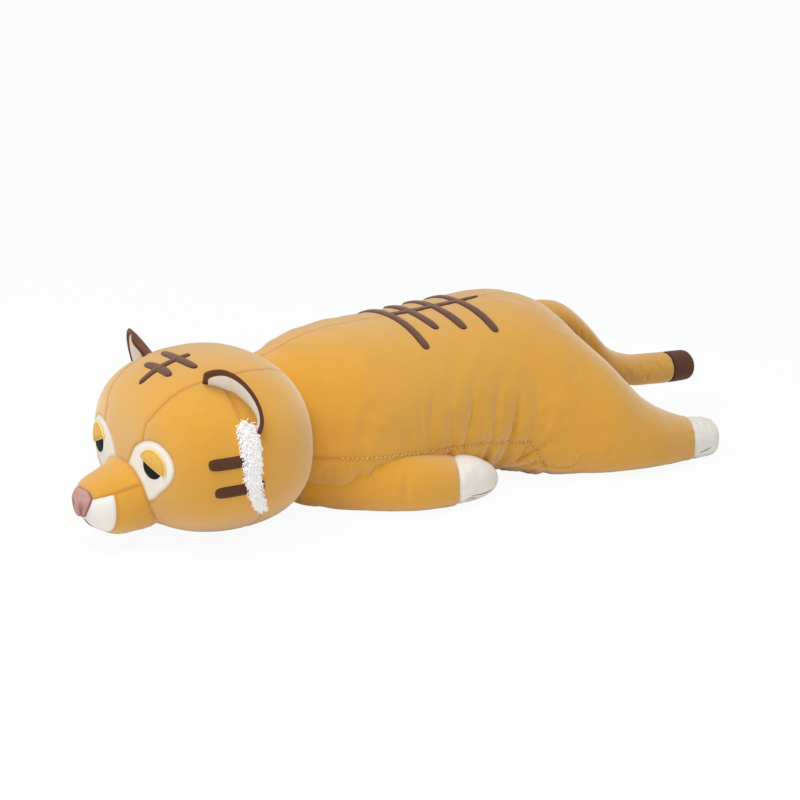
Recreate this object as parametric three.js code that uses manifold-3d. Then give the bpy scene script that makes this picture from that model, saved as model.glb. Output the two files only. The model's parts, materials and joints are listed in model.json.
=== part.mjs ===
// A long plush tiger that lies flat on its belly, chin on the floor and legs stretched behind.
// Lengths are millimetres and angles are degrees. +Z is up, the head points along -Y
// and the tiger's own left side is +X. The origin is under the middle of the whole toy.
//
// Every cover is a panel of plush with the stuffing as a body of its own inside it.
// A form is a row of oval sections along a path, and all panels of one form share its surface.

import * as THREE from 'three';
import { mergeVertices } from 'three/addons/utils/BufferGeometryUtils.js';
import Module from 'manifold-3d';

const wasm = await Module();
wasm.setup();

// Cloth and seams
const PLUSH_THICKNESS = 3;
const SEAM_GAP = 0.3;
const STUFFING_GAP = 0.6;
const FELT_THICKNESS = 1.5;
const EMBROIDERY_THICKNESS = 1.2;
const STRIPE_THICKNESS = 2;
const FLAT_DEPTH = 0.5;
const CUT_OVERRUN = 900;

// Head
const HEAD_WIDTH = 296;
const HEAD_LENGTH = 235;
const FACE_LENGTH = 127.5;
const HEAD_HEIGHT = 228;
const HEAD_TURN = 3;
const HEAD_SWING = 8;
const HEAD_SET_BACK = 40;
const HEAD_CLEARANCE = 1.6;
const NECK_WIDTH = 120;
const NECK_HEIGHT = 96;
const NECK_LEVEL = 110;
const NECK_GAP = 0.45;

// Muzzle
const MUZZLE_LENGTH = 62;
const MUZZLE_ROOT = 40;
const MUZZLE_WIDTH = 100;
const MUZZLE_HEIGHT = 100;
const MUZZLE_LEVEL = 64;
const LIP_LENGTH = 28;
const LIP_SEAM_LEVEL = 76;
const NOSE_WIDTH = 34;
const NOSE_HEIGHT = 34;
const NOSE_PADDING = 8;

// Eyes
const EYE_SPACING = 130;
const EYE_LEVEL = 114;
const EYE_DISC = 40;
const PUPIL = 32;
const EYELID = 44;
const EYELID_THICKNESS = 2.6;
const EYELID_SLANT = 24;
const PATCH_WIDTH = 80;
const PATCH_HEIGHT = 78;

// Ears
const EAR_WIDTH = 92;
const EAR_HEIGHT = 46;
const EAR_CUP = 20;
const EAR_SET_BACK = 100;
const EAR_TILT = 37;
const EAR_REACH = 111;
const EAR_LEVEL = 190;
const EAR_FOLD = 12;
const EAR_CLOTH = 3;

// Marks on the head
const MARK_LENGTH = 74;
const MARK_BAR = 9;
const MARK_SET_BACK = 129;
const CROSS_BAR_LONG = 74;
const CROSS_BAR_SHORT = 58;
const CROSS_BAR_PITCH = 29;
const CHEEK_STRIPE_LENGTH = 40;
const CHEEK_STRIPE_WIDTH = 15;
const CHEEK_STRIPE_LEVEL = 107;
const CHEEK_STRIPE_PITCH = 37;
const FUR_LENGTH = 122;
const FUR_WIDTH = 24;
const FUR_LEVEL = 120;
const FUR_PILE = 5;

// Body
const BODY_LENGTH = 500;
const BODY_INSET = 20;
const BODY_WIDTH = 276;
const BODY_HEIGHT = 236;
const BODY_SEAM_LEVEL = 42;
const STRIPE_RUN = 186;
const STRIPE_WIDTH = 10;
const STRIPE_SET_BACK = 180;
const RIB_REACH = 88;
const RIB_SWEEP = 8;

// Front legs
const FRONT_LEG_LENGTH = 200;
const FRONT_LEG_WIDTH = 76;
const FRONT_LEG_HEIGHT = 82;
const FRONT_PAW_LENGTH = 66;
const FRONT_PAW_SLANT = 26;
const SHOULDER_SPREAD = 84;
const SHOULDER_SET_BACK = 100;
const FRONT_LEG_SPREAD = 42;
const FRONT_LEG_SWING = 25;

// Hind legs
const HIND_LEG_LENGTH = 252;
const THIGH_WIDTH = 136;
const THIGH_HEIGHT = 168;
const HIND_PAW_LENGTH = 43;
const HIND_PAW_SLANT = 14;
const HIP_SPREAD = 74;
const HIP_SET_BACK = 398;
const HIND_SPREAD = 162;
const HIND_LEG_SWING = 10;

// Tail
const TAIL_LENGTH = 297;
const TAIL_THICKNESS = 47;
const TAIL_TIP_LENGTH = 46;
const TAIL_ROOT_LEVEL = 188;
const TAIL_SET_BACK = 451;
const TAIL_DROP = 119;
const TAIL_SWING = 12;
const TAIL_CLEARANCE = 1;

// Steps of the faceted surfaces
const HEAD_RINGS = 16;
const HEAD_SIDES = 20;
const NECK_SIDES = 40;
const BODY_RINGS = 16;
const BODY_SIDES = 20;
const LEG_RINGS = 12;
const LEG_SIDES = 12;
const TAIL_RINGS = 14;
const TAIL_SIDES = 10;
const MUZZLE_RINGS = 8;
const MUZZLE_SIDES = 16;
const NOSE_RINGS = 8;
const NOSE_SIDES = 12;
const EAR_SIDES = 16;
const OUTLINE_STEPS = 16;
const ROUND_POWER = 2;
const CUSHION_POWER = 2.25;
const HEAD_POWER = 2.3;
const LYING_POWER = 2.6;

const group = new THREE.Group();
const radians = THREE.MathUtils.degToRad;

// Materials

function cloth(colour, roughness = 0.9) {
  return new THREE.MeshStandardMaterial({ color: colour, roughness, metalness: 0 });
}

const finishes = {
  golden_plush: () => cloth('#dea54b'),
  brown_plush: () => cloth('#5c3728'),
  cream_plush: () => cloth('#e8e4d7'),
  white_fur: () => cloth('#f0eef0'),
  white_felt: () => cloth('#efece4'),
  black_thread: () => cloth('#191e20', 0.6),
  nose_plush: () => cloth('#a57d78', 0.8),
  stuffing: () => cloth('#f4f2ee'),
};

// Solids and cuts

function solidOf(geometry) {
  geometry.deleteAttribute('normal');
  geometry.deleteAttribute('uv');
  const merged = mergeVertices(geometry);
  return new wasm.Manifold(new wasm.Mesh({
    numProp: 3,
    vertProperties: new Float32Array(merged.attributes.position.array),
    triVerts: new Uint32Array(merged.index.array),
  }));
}

function geometryOf(solid) {
  const mesh = solid.getMesh();
  const geometry = new THREE.BufferGeometry();
  geometry.setAttribute('position', new THREE.BufferAttribute(mesh.vertProperties, 3));
  geometry.setIndex(new THREE.BufferAttribute(mesh.triVerts, 1));
  return geometry;
}

function joined(solids) {
  return solids.reduce((whole, solid) => whole.add(solid));
}

function turned(solid, pivot, axis, angle) {
  const geometry = geometryOf(solid);
  geometry.translate(-pivot.x, -pivot.y, -pivot.z);
  geometry.applyMatrix4(new THREE.Matrix4().makeRotationAxis(axis, radians(angle)));
  geometry.translate(pivot.x, pivot.y, pivot.z);
  return solidOf(geometry);
}

function slab(low, high) {
  const size = new THREE.Vector3().subVectors(high, low);
  const geometry = new THREE.BoxGeometry(size.x, size.y, size.z);
  const middle = new THREE.Vector3().addVectors(low, high).multiplyScalar(0.5);
  geometry.translate(middle.x, middle.y, middle.z);
  return solidOf(geometry);
}

// Everything on one side of a level, as a big block: 'above' keeps larger coordinates
function halfSpace(axis, level, side) {
  const low = new THREE.Vector3(-CUT_OVERRUN, -CUT_OVERRUN, -CUT_OVERRUN);
  const high = low.clone().negate();
  if (side > 0) low[axis] = level;
  else high[axis] = level;
  return slab(low, high);
}

// A prism with its outline in the plane square to an axis, from one level to another
function prism(axis, points, from, to) {
  const shape = new THREE.Shape(points.map(([a, b]) => new THREE.Vector2(a, b)));
  const geometry = new THREE.ExtrudeGeometry(shape, { depth: to - from, bevelEnabled: false });
  // The outline is (y, z) for x, (x, z) for y and (x, y) for z
  geometry.translate(0, 0, axis === 'y' ? -to : from);
  if (axis === 'x') {
    geometry.applyMatrix4(new THREE.Matrix4().set(0, 0, 1, 0, 1, 0, 0, 0, 0, 1, 0, 0, 0, 0, 0, 1));
  }
  if (axis === 'y') {
    geometry.applyMatrix4(new THREE.Matrix4().set(1, 0, 0, 0, 0, 0, -1, 0, 0, 1, 0, 0, 0, 0, 0, 1));
  }
  return solidOf(geometry);
}

const floorCut = halfSpace('z', 0, 1);

// Forms

// A smooth value between the rows of a table, with one row for each whole step of t
function along(rows, t) {
  const last = rows.length - 1;
  const place = THREE.MathUtils.clamp(t, 0, 1) * last;
  const at = Math.min(Math.floor(place), last - 1);
  const s = place - at;
  const row = (i) => rows[THREE.MathUtils.clamp(i, 0, last)];
  return rows[0].map((_, k) => {
    const [a, b, c, d] = [at - 1, at, at + 1, at + 2].map((i) => row(i)[k]);
    return b + 0.5 * s * (c - a + s * (2 * a - 5 * b + 4 * c - d + s * (3 * (b - c) + d - a)));
  });
}

function swelled(value, power) {
  return Math.sign(value) * Math.abs(value) ** (2 / power);
}

// A round end: full size past the cap, and down to nothing at the very end
function capped(t, cap, power) {
  const short = Math.max(1 - t / cap, 0);
  return (1 - short ** power) ** (1 / power);
}

// A form's rows give a path (x, y, z) and the section's half width, rise and drop there
function formOf(rows, rings, sides, capShares, power = ROUND_POWER, lowPower = power) {
  const points = [];
  for (let i = 0; i <= rings; i += 1) {
    const t = 0.5 - 0.5 * Math.cos((Math.PI * i) / rings);
    const [x, y, z, half, rise, drop] = along(rows, t);
    const full = capped(t, capShares[0], power) * capped(1 - t, capShares[1], power);
    const before = along(rows, Math.max(t - 0.01, 0));
    const after = along(rows, Math.min(t + 0.01, 1));
    const across = new THREE.Vector2(after[0] - before[0], after[1] - before[1]).normalize();
    const ring = [];
    for (let j = 0; j < sides; j += 1) {
      const angle = (2 * Math.PI * j) / sides;
      const bend = Math.sin(angle) < 0 ? lowPower : power;
      const side = full * half * swelled(Math.cos(angle), bend);
      const height = swelled(Math.sin(angle), bend);
      const up = full * (height > 0 ? rise * height : drop * height);
      ring.push(new THREE.Vector3(x + across.y * side, y - across.x * side, z + up));
    }
    points.push(ring);
  }
  return { points, rings, sides };
}

// The form's surface moved out by a distance, or in where it is below zero. A coarse
// surface takes every second ring and side, and lies inside the fine one.
function surface(form, distance = 0, step = 1) {
  const { points, rings, sides } = form;
  const flat = [];
  const index = [];
  for (let i = 1; i < rings; i += 1) flat.push(...points[i]);
  const first = flat.length;
  flat.push(points[0][0], points[rings][0]);
  const at = (i, j) => (i <= 0 ? first : i >= rings ? first + 1 : (i - 1) * sides + (j % sides));
  const faces = (by) => {
    const list = [];
    for (let i = 0; i < rings; i += by) {
      for (let j = 0; j < sides; j += by) {
        const [a, b, c, d] = [at(i, j), at(i, j + by), at(i + by, j + by), at(i + by, j)];
        if (a !== b) list.push(a, c, b);
        if (c !== d) list.push(a, d, c);
      }
    }
    return list;
  };
  const fine = new THREE.BufferGeometry().setFromPoints(flat);
  fine.setIndex(faces(1));
  fine.computeVertexNormals();
  const { position, normal } = fine.attributes;
  const moved = flat.map((point, i) => point.clone().addScaledVector(
    new THREE.Vector3().fromBufferAttribute(normal, i), distance));
  index.push(...faces(step));
  const geometry = new THREE.BufferGeometry().setFromPoints(moved);
  geometry.setIndex(index);
  return solidOf(geometry);
}

// The cloth of a form, from its outer surface in to the stuffing
function clothOf(form) {
  return surface(form).subtract(surface(form, -PLUSH_THICKNESS));
}

// A flat piece that lies on a form: the part of a layer over it that a prism keeps
function layerOn(form, outline, lift, thickness) {
  const layer = surface(form, lift + thickness).subtract(surface(form, lift));
  return layer.intersect(outline);
}

function smoothLoop(points, steps = OUTLINE_STEPS) {
  const corners = points.map(([a, b]) => new THREE.Vector3(a, b, 0));
  const curve = new THREE.CatmullRomCurve3(corners, true);
  return curve.getPoints(steps).slice(0, -1).map((point) => [point.x, point.y]);
}

function oval(middleA, middleB, halfA, halfB, slant = 0, steps = OUTLINE_STEPS) {
  const list = [];
  for (let i = 0; i < steps; i += 1) {
    const angle = (2 * Math.PI * i) / steps;
    const [a, b] = [halfA * Math.cos(angle), halfB * Math.sin(angle)];
    const [c, s] = [Math.cos(radians(slant)), Math.sin(radians(slant))];
    list.push([middleA + a * c - b * s, middleB + a * s + b * c]);
  }
  return list;
}

// A bar with pointed round ends along a row of points
function bar(points, width, steps = OUTLINE_STEPS) {
  const curve = new THREE.CatmullRomCurve3(points.map(([a, b]) => new THREE.Vector3(a, b, 0)));
  const half = steps / 2;
  const sides = [[], []];
  for (let i = 0; i <= half; i += 1) {
    const t = i / half;
    const at = curve.getPoint(t);
    const way = curve.getTangent(t);
    const reach = 0.5 * width * Math.max(capped(t, 0.2, 2) * capped(1 - t, 0.2, 2), 0.05);
    sides[0].push([at.x - way.y * reach, at.y + way.x * reach]);
    sides[1].unshift([at.x + way.y * reach, at.y - way.x * reach]);
  }
  return [...sides[0], ...sides[1]].reverse();
}

// A slanted line through a point, and the part of a convex outline above or below it
function turnedArea(a, b, slant) {
  return { a, b, wayA: Math.cos(radians(slant)), wayB: -Math.sin(radians(slant)) };
}

function cutArea(points, line, offset) {
  const keep = Math.sign(offset);
  const depth = ([a, b]) => keep * ((b - line.b) * line.wayA - (a - line.a) * line.wayB)
    - Math.abs(offset);
  const list = [];
  points.forEach((point, i) => {
    const next = points[(i + 1) % points.length];
    const [d, e] = [depth(point), depth(next)];
    if (d >= 0) list.push(point);
    if (d * e < 0) {
      const t = d / (d - e);
      list.push([point[0] + t * (next[0] - point[0]), point[1] + t * (next[1] - point[1])]);
    }
  });
  return list;
}

const up = new THREE.Vector3(0, 0, 1);
const bodies = { body: new THREE.Group(), head: new THREE.Group() };
bodies.head.rotation.z = radians(HEAD_TURN);
group.add(bodies.body, bodies.head);

function place(name, solid, finish, parent) {
  const mesh = new THREE.Mesh(geometryOf(solid), finishes[finish]());
  mesh.name = name;
  parent.add(mesh);
}

// Head

const headLevel = HEAD_HEIGHT / 2 - FLAT_DEPTH;
const headBack = HEAD_SET_BACK;
const headFront = headBack - HEAD_LENGTH;
const headForm = formOf([
  [0, headFront, headLevel, HEAD_WIDTH / 2, HEAD_HEIGHT / 2, HEAD_HEIGHT / 2],
  [0, headFront + FACE_LENGTH, headLevel, HEAD_WIDTH / 2, HEAD_HEIGHT / 2, HEAD_HEIGHT / 2],
  [0, headBack, headLevel, HEAD_WIDTH / 2, HEAD_HEIGHT / 2, HEAD_HEIGHT / 2],
], HEAD_RINGS, HEAD_SIDES, [0.5, 0.5], HEAD_POWER);

// The body's stuffing goes on through the neck seam as a round core that the head turns on
function neck(gap) {
  const reach = NECK_WIDTH / 2 + gap;
  const geometry = new THREE.CylinderGeometry(reach, reach, NECK_HEIGHT + 2 * gap, NECK_SIDES);
  geometry.rotateX(Math.PI / 2);
  geometry.translate(0, 0, NECK_LEVEL);
  return solidOf(geometry);
}

const headCloth = clothOf(headForm).subtract(neck(NECK_GAP)).intersect(floorCut);
const headOver = surface(headForm, SEAM_GAP);

const crownShares = [
  [0, 0.3], [0.054, 0.35], [0.109, 0.395], [0.217, 0.43], [0.347, 0.47], [0.488, 0.51], [0.7, 0.49],
  [0.81, 0.445], [1, 0.38],
];
function crownArea(grown) {
  const right = crownShares.map(([length, width]) => [
    width * (HEAD_WIDTH / 2) + grown, headFront - grown + length * (HEAD_LENGTH + 2 * grown)]);
  const left = right.map(([x, y]) => [-x, y]).reverse();
  return prism('z', [...right, ...left], MUZZLE_LEVEL + MUZZLE_HEIGHT / 4 - grown, CUT_OVERRUN);
}

place('head_crown', headCloth.intersect(crownArea(0)), 'golden_plush', bodies.head);
const belowCrown = headCloth.subtract(crownArea(SEAM_GAP));
const earSeam = -EAR_SET_BACK;
for (const [side, word] of [[1, 'left'], [-1, 'right']]) {
  const half = belowCrown.intersect(halfSpace('x', (side * SEAM_GAP) / 2, side));
  const front = halfSpace('y', earSeam - SEAM_GAP / 2, -1);
  const back = halfSpace('y', earSeam + SEAM_GAP / 2, 1);
  place(`cheek_${word}`, half.intersect(front), 'golden_plush', bodies.head);
  place(`nape_${word}`, half.intersect(back), 'golden_plush', bodies.head);
}
const inside = -PLUSH_THICKNESS - STUFFING_GAP;
place('head_stuffing', surface(headForm, inside, 2).subtract(neck(NECK_GAP)), 'stuffing', bodies.head);

// Muzzle

const muzzleRoot = headFront + MUZZLE_ROOT;
const muzzleTip = headFront - MUZZLE_LENGTH;
const muzzleShares = [
  [0, 0, 1, 1],
  [0.33, -0.01, 0.98, 0.96],
  [0.6, -0.06, 0.88, 0.85],
  [0.85, -0.04, 0.72, 0.63],
  [1, -0.03, 0.58, 0.42],
];
const muzzleForm = formOf(muzzleShares.map(([length, rise, width, height]) => [
  0,
  muzzleRoot + length * (muzzleTip - muzzleRoot),
  MUZZLE_LEVEL + rise * MUZZLE_HEIGHT,
  (width * MUZZLE_WIDTH) / 2,
  (height * MUZZLE_HEIGHT) / 2,
  (height * MUZZLE_HEIGHT) / 2,
]), MUZZLE_RINGS, MUZZLE_SIDES, [0.2, 0.3], CUSHION_POWER);
const muzzleCloth = clothOf(muzzleForm).subtract(headOver);
const lipFront = muzzleTip + LIP_LENGTH;

place('muzzle_top', muzzleCloth.intersect(halfSpace('z', LIP_SEAM_LEVEL + SEAM_GAP / 2, 1)),
  'golden_plush', bodies.head);
const belowLipSeam = muzzleCloth.intersect(halfSpace('z', LIP_SEAM_LEVEL - SEAM_GAP / 2, -1));
for (const [side, word] of [[1, 'left'], [-1, 'right']]) {
  const half = belowLipSeam.intersect(halfSpace('x', (side * SEAM_GAP) / 2, side));
  place(`muzzle_side_${word}`, half.intersect(halfSpace('y', lipFront + SEAM_GAP / 2, 1)),
    'golden_plush', bodies.head);
  place(`lip_${word}`, half.intersect(halfSpace('y', lipFront - SEAM_GAP / 2, -1)),
    'cream_plush', bodies.head);
}
place('muzzle_stuffing', surface(muzzleForm, inside, 2).subtract(headOver), 'stuffing', bodies.head);

const NOSE_RISE_SHARE = -0.01;
const noseLevel = MUZZLE_LEVEL + NOSE_RISE_SHARE * MUZZLE_HEIGHT;
const noseForm = formOf([
  [0, muzzleTip - NOSE_PADDING, noseLevel, NOSE_WIDTH / 2, NOSE_HEIGHT / 2, NOSE_HEIGHT / 2],
  [0, muzzleTip + NOSE_HEIGHT / 2, noseLevel, NOSE_WIDTH / 2, NOSE_HEIGHT / 2, NOSE_HEIGHT / 2],
], NOSE_RINGS, NOSE_SIDES, [0.5, 0.5], CUSHION_POWER);
place('nose', surface(noseForm).subtract(surface(muzzleForm, SEAM_GAP)), 'nose_plush', bodies.head);

// Eyes: a felt patch, a white disc, and on the disc a black half moon under a padded lid

const muzzleOver = surface(muzzleForm, SEAM_GAP);
const patchShares = [
  [-0.589, 0.01], [-0.519, 0.185], [-0.44, 0.29], [-0.15, 0.45], [0.114, 0.467], [0.312, 0.33],
  [0.4, 0.124], [0.336, -0.114], [0.106, -0.359], [-0.166, -0.541], [-0.2, -0.3], [-0.42, -0.113],
];
for (const [side, word] of [[1, 'left'], [-1, 'right']]) {
  const middle = EYE_SPACING / 2;
  const facing = (points) => prism('y',
    side > 0 ? points : points.map(([x, z]) => [-x, z]).reverse(), -CUT_OVERRUN, 0);
  const patch = smoothLoop(patchShares.map(([across, rise]) => [
    middle + across * PATCH_WIDTH, EYE_LEVEL - PATCH_HEIGHT * 0.05 + rise * PATCH_HEIGHT]));
  const disc = oval(middle, EYE_LEVEL, EYE_DISC / 2, EYE_DISC / 2);
  const lidLine = turnedArea(middle, EYE_LEVEL, EYELID_SLANT);
  const discLift = SEAM_GAP + FELT_THICKNESS + SEAM_GAP;
  const topLift = discLift + EMBROIDERY_THICKNESS + SEAM_GAP;
  place(`eye_patch_${word}`, layerOn(headForm, facing(patch), SEAM_GAP, FELT_THICKNESS)
    .subtract(muzzleOver), 'white_felt', bodies.head);
  place(`eye_disc_${word}`, layerOn(headForm, facing(disc), discLift, EMBROIDERY_THICKNESS),
    'white_felt', bodies.head);
  place(`pupil_${word}`, layerOn(headForm,
    facing(cutArea(oval(middle, EYE_LEVEL, PUPIL / 2, PUPIL / 2), lidLine, -SEAM_GAP / 2)),
    topLift, EMBROIDERY_THICKNESS), 'black_thread', bodies.head);
  place(`eyelid_${word}`, layerOn(headForm,
    facing(cutArea(oval(middle, EYE_LEVEL, EYELID / 2, EYELID / 2), lidLine, SEAM_GAP / 2)),
    topLift, EYELID_THICKNESS), 'golden_plush', bodies.head);
}

// The forehead mark: a bar along the crown with two bars across it

const onHead = (outline, thickness) => layerOn(headForm, outline, SEAM_GAP, thickness);
const topPrism = (points) => prism('z', points, headLevel, CUT_OVERRUN);
const markMiddle = -MARK_SET_BACK;
const crossBar = (length, at) => bar([
  [length / 2, at + MARK_BAR / 4], [0, at - MARK_BAR / 4], [-length / 2, at + MARK_BAR / 4]], MARK_BAR);
const markOutline = joined([
  bar([[0, markMiddle - MARK_LENGTH / 2], [0, markMiddle + MARK_LENGTH / 2]], MARK_BAR),
  crossBar(CROSS_BAR_SHORT, markMiddle - CROSS_BAR_PITCH / 3),
  crossBar(CROSS_BAR_LONG, markMiddle + (CROSS_BAR_PITCH * 2) / 3),
].map(topPrism));
place('forehead_mark', onHead(markOutline, STRIPE_THICKNESS), 'brown_plush', bodies.head);

// Cheeks: a strip of long white fur down the seam, and two stripes that run in under it

const furShares = [[0.1, 0.22], [0.12, 0], [0.35, -0.28], [1.2, -0.6]];
for (const [side, word] of [[1, 'left'], [-1, 'right']]) {
  const sideways = (points) => prism('x', points, Math.min(side, 0) * CUT_OVERRUN,
    Math.max(side, 0) * CUT_OVERRUN);
  const furPath = furShares.map(([back, rise]) => [
    earSeam + back * FUR_WIDTH, FUR_LEVEL + rise * FUR_LENGTH]);
  place(`fur_strip_${word}`, onHead(sideways(bar(furPath, FUR_WIDTH)), FUR_PILE), 'white_fur', bodies.head);
  const furEdge = surface(headForm, SEAM_GAP + FUR_PILE + SEAM_GAP)
    .intersect(sideways(bar(furPath, FUR_WIDTH + 2 * SEAM_GAP)));
  for (const [step, level] of [['upper', 0.5], ['lower', -0.5]]) {
    const z = CHEEK_STRIPE_LEVEL + level * CHEEK_STRIPE_PITCH;
    const start = earSeam - FUR_WIDTH / 4 - level * FUR_WIDTH * 0.6;
    const stripe = sideways(bar([
      [start - CHEEK_STRIPE_LENGTH, z], [start, z + CHEEK_STRIPE_WIDTH / 6]], CHEEK_STRIPE_WIDTH));
    place(`cheek_stripe_${step}_${word}`, onHead(stripe, STRIPE_THICKNESS).subtract(furEdge),
      'brown_plush', bodies.head);
  }
}

// Ears: a cupped half bowl with its mouth to the front, brown behind and white inside

const earAcross = new THREE.Vector3(Math.cos(radians(EAR_TILT)), 0, -Math.sin(radians(EAR_TILT)));
for (const [side, word] of [[1, 'left'], [-1, 'right']]) {
  const pivot = new THREE.Vector3(side * EAR_REACH, -EAR_SET_BACK, EAR_LEVEL);
  const across = earAcross.clone().multiply(new THREE.Vector3(side, 1, 1));
  const bowl = (inwards) => {
    const geometry = new THREE.SphereGeometry(1, EAR_SIDES, EAR_SIDES / 2);
    geometry.scale(EAR_WIDTH / 2 - inwards, EAR_CUP - inwards, EAR_HEIGHT - inwards);
    geometry.rotateY(radians(side * EAR_TILT));
    geometry.translate(pivot.x, pivot.y - EAR_CUP / 3, pivot.z);
    return solidOf(geometry);
  };
  const mouth = halfSpace('y', pivot.y - EAR_CUP / 6, 1);
  const clear = (solid) => [-1, 0, 1].reduce((left, share) => left.subtract(
    turned(headOver, pivot, across, share * EAR_FOLD)), solid.intersect(mouth));
  bodies[`ear_${word}`] = new THREE.Group();
  bodies.head.add(bodies[`ear_${word}`]);
  place(`ear_back_${word}`, clear(bowl(0).subtract(bowl(EAR_CLOTH))), 'brown_plush', bodies[`ear_${word}`]);
  place(`ear_lining_${word}`, clear(bowl(EAR_CLOTH + SEAM_GAP).subtract(bowl(2 * EAR_CLOTH + SEAM_GAP))),
    'cream_plush', bodies[`ear_${word}`]);
}

// Body

const bodyFront = -BODY_INSET;
const bodyLevel = 0.44 * BODY_HEIGHT;
const bodyShares = [
  [0, 0.5, 0.68, 0.6],
  [0.1, 0.58, 0.76, 0.66],
  [0.16, 0.72, 0.86, 0.78],
  [0.25, 0.87, 0.935, 0.95],
  [0.36, 0.92, 0.95, 1],
  [0.5, 0.94, 0.945, 1],
  [0.66, 0.98, 0.96, 1],
  [0.8, 1, 0.97, 1],
  [0.91, 0.9, 0.84, 0.9],
  [1, 0.6, 0.5, 0.6],
];
const bodyForm = formOf(bodyShares.map(([length, width, rise, drop]) => [
  0,
  bodyFront + length * (BODY_LENGTH - bodyFront),
  bodyLevel,
  (width * BODY_WIDTH) / 2,
  rise * (BODY_HEIGHT - bodyLevel),
  drop * (bodyLevel + FLAT_DEPTH),
]), BODY_RINGS, BODY_SIDES, [0.05, 0.127], CUSHION_POWER, LYING_POWER);
// The room that the head takes up over its whole turn
const headSweep = joined([-1, 0, 1].map((share) => turned(surface(headForm, HEAD_CLEARANCE),
  new THREE.Vector3(), up, HEAD_TURN + share * HEAD_SWING)));
const bodyCloth = clothOf(bodyForm).subtract(headSweep).intersect(floorCut);
const bellyShares = [
  [-0.2, 0.9], [-0.1, 0.9], [0.1, 1.05], [0.3, 1.1], [0.5, 1], [0.66, 0.95], [0.72, 1.2], [0.8, 1.5],
  [1.1, 1.6],
];
function bellyArea(grown) {
  const line = bellyShares.map(([length, level]) => [
    length * BODY_LENGTH, level * BODY_SEAM_LEVEL + grown]);
  const below = [line[line.length - 1], line[0]].map(([y]) => [y, -CUT_OVERRUN]);
  return prism('x', [...line, ...below].reverse(), -CUT_OVERRUN, CUT_OVERRUN);
}

place('belly_panel', bodyCloth.intersect(bellyArea(0)), 'golden_plush', bodies.body);
const aboveBelly = bodyCloth.subtract(bellyArea(SEAM_GAP));
for (const [side, word] of [[1, 'left'], [-1, 'right']]) {
  place(`side_panel_${word}`, aboveBelly.intersect(halfSpace('x', (side * SEAM_GAP) / 2, side)),
    'golden_plush', bodies.body);
}
place('body_stuffing', surface(bodyForm, inside).subtract(headSweep).add(neck(0)), 'stuffing',
  bodies.body);

// Each rib crosses the spine bar: where along it, and how far out it reaches
const ribShares = [[0.2, 0.95], [0.38, 0.66], [0.6, 0.82], [0.82, 1]];
const ribs = ribShares.flatMap(([length, reach]) => [1, -1].map((side) => {
  const at = STRIPE_SET_BACK + length * STRIPE_RUN;
  return bar([[0, at - RIB_SWEEP], [side * RIB_REACH * reach * 0.5, at], [side * RIB_REACH * reach, at]],
    STRIPE_WIDTH);
}));
const backMark = joined([
  bar([[0, STRIPE_SET_BACK], [0, STRIPE_SET_BACK + STRIPE_RUN]], STRIPE_WIDTH), ...ribs,
].map((points) => prism('z', points, bodyLevel, CUT_OVERRUN)));
place('back_stripes', layerOn(bodyForm, backMark, SEAM_GAP, STRIPE_THICKNESS), 'brown_plush', bodies.body);

// Legs: each is cut by the body at rest and at the far end of its swing

const bodyOver = surface(bodyForm, SEAM_GAP);
function cutByBody(solid, pivot, turns, over = bodyOver) {
  return turns.reduce((left, angle) => left.subtract(turned(over, pivot, up, -angle)), solid);
}

function limb(name, rows, capShares, side, pivot, turns, over, paw, parent) {
  const form = formOf(rows.map(([x, ...rest]) => [side * x, ...rest]), LEG_RINGS, LEG_SIDES, capShares,
    CUSHION_POWER, LYING_POWER);
  const shell = cutByBody(clothOf(form), pivot, turns, over).intersect(floorCut);
  const [end, before] = [rows[rows.length - 1], rows[rows.length - 3]];
  const splay = THREE.MathUtils.radToDeg(Math.atan2(side * (end[0] - before[0]), end[1] - before[1]));
  const seam = new THREE.Vector3(side * end[0], end[1], 0)
    .addScaledVector(new THREE.Vector3(Math.sin(radians(splay)), Math.cos(radians(splay)), 0), -paw.length);
  // The paw reaches further forward on the leg's outer side than on its inner side
  const beyond = (gap) => turned(halfSpace('y', seam.y + gap, 1), seam, up, -splay - side * paw.slant);
  place(`${name}_cover`, shell.subtract(beyond(-SEAM_GAP)), 'golden_plush', parent);
  place(`${name}_paw`, shell.intersect(beyond(0)), 'cream_plush', parent);
  place(`${name}_stuffing`, cutByBody(surface(form, inside), pivot, turns, over), 'stuffing', parent);
}

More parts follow.
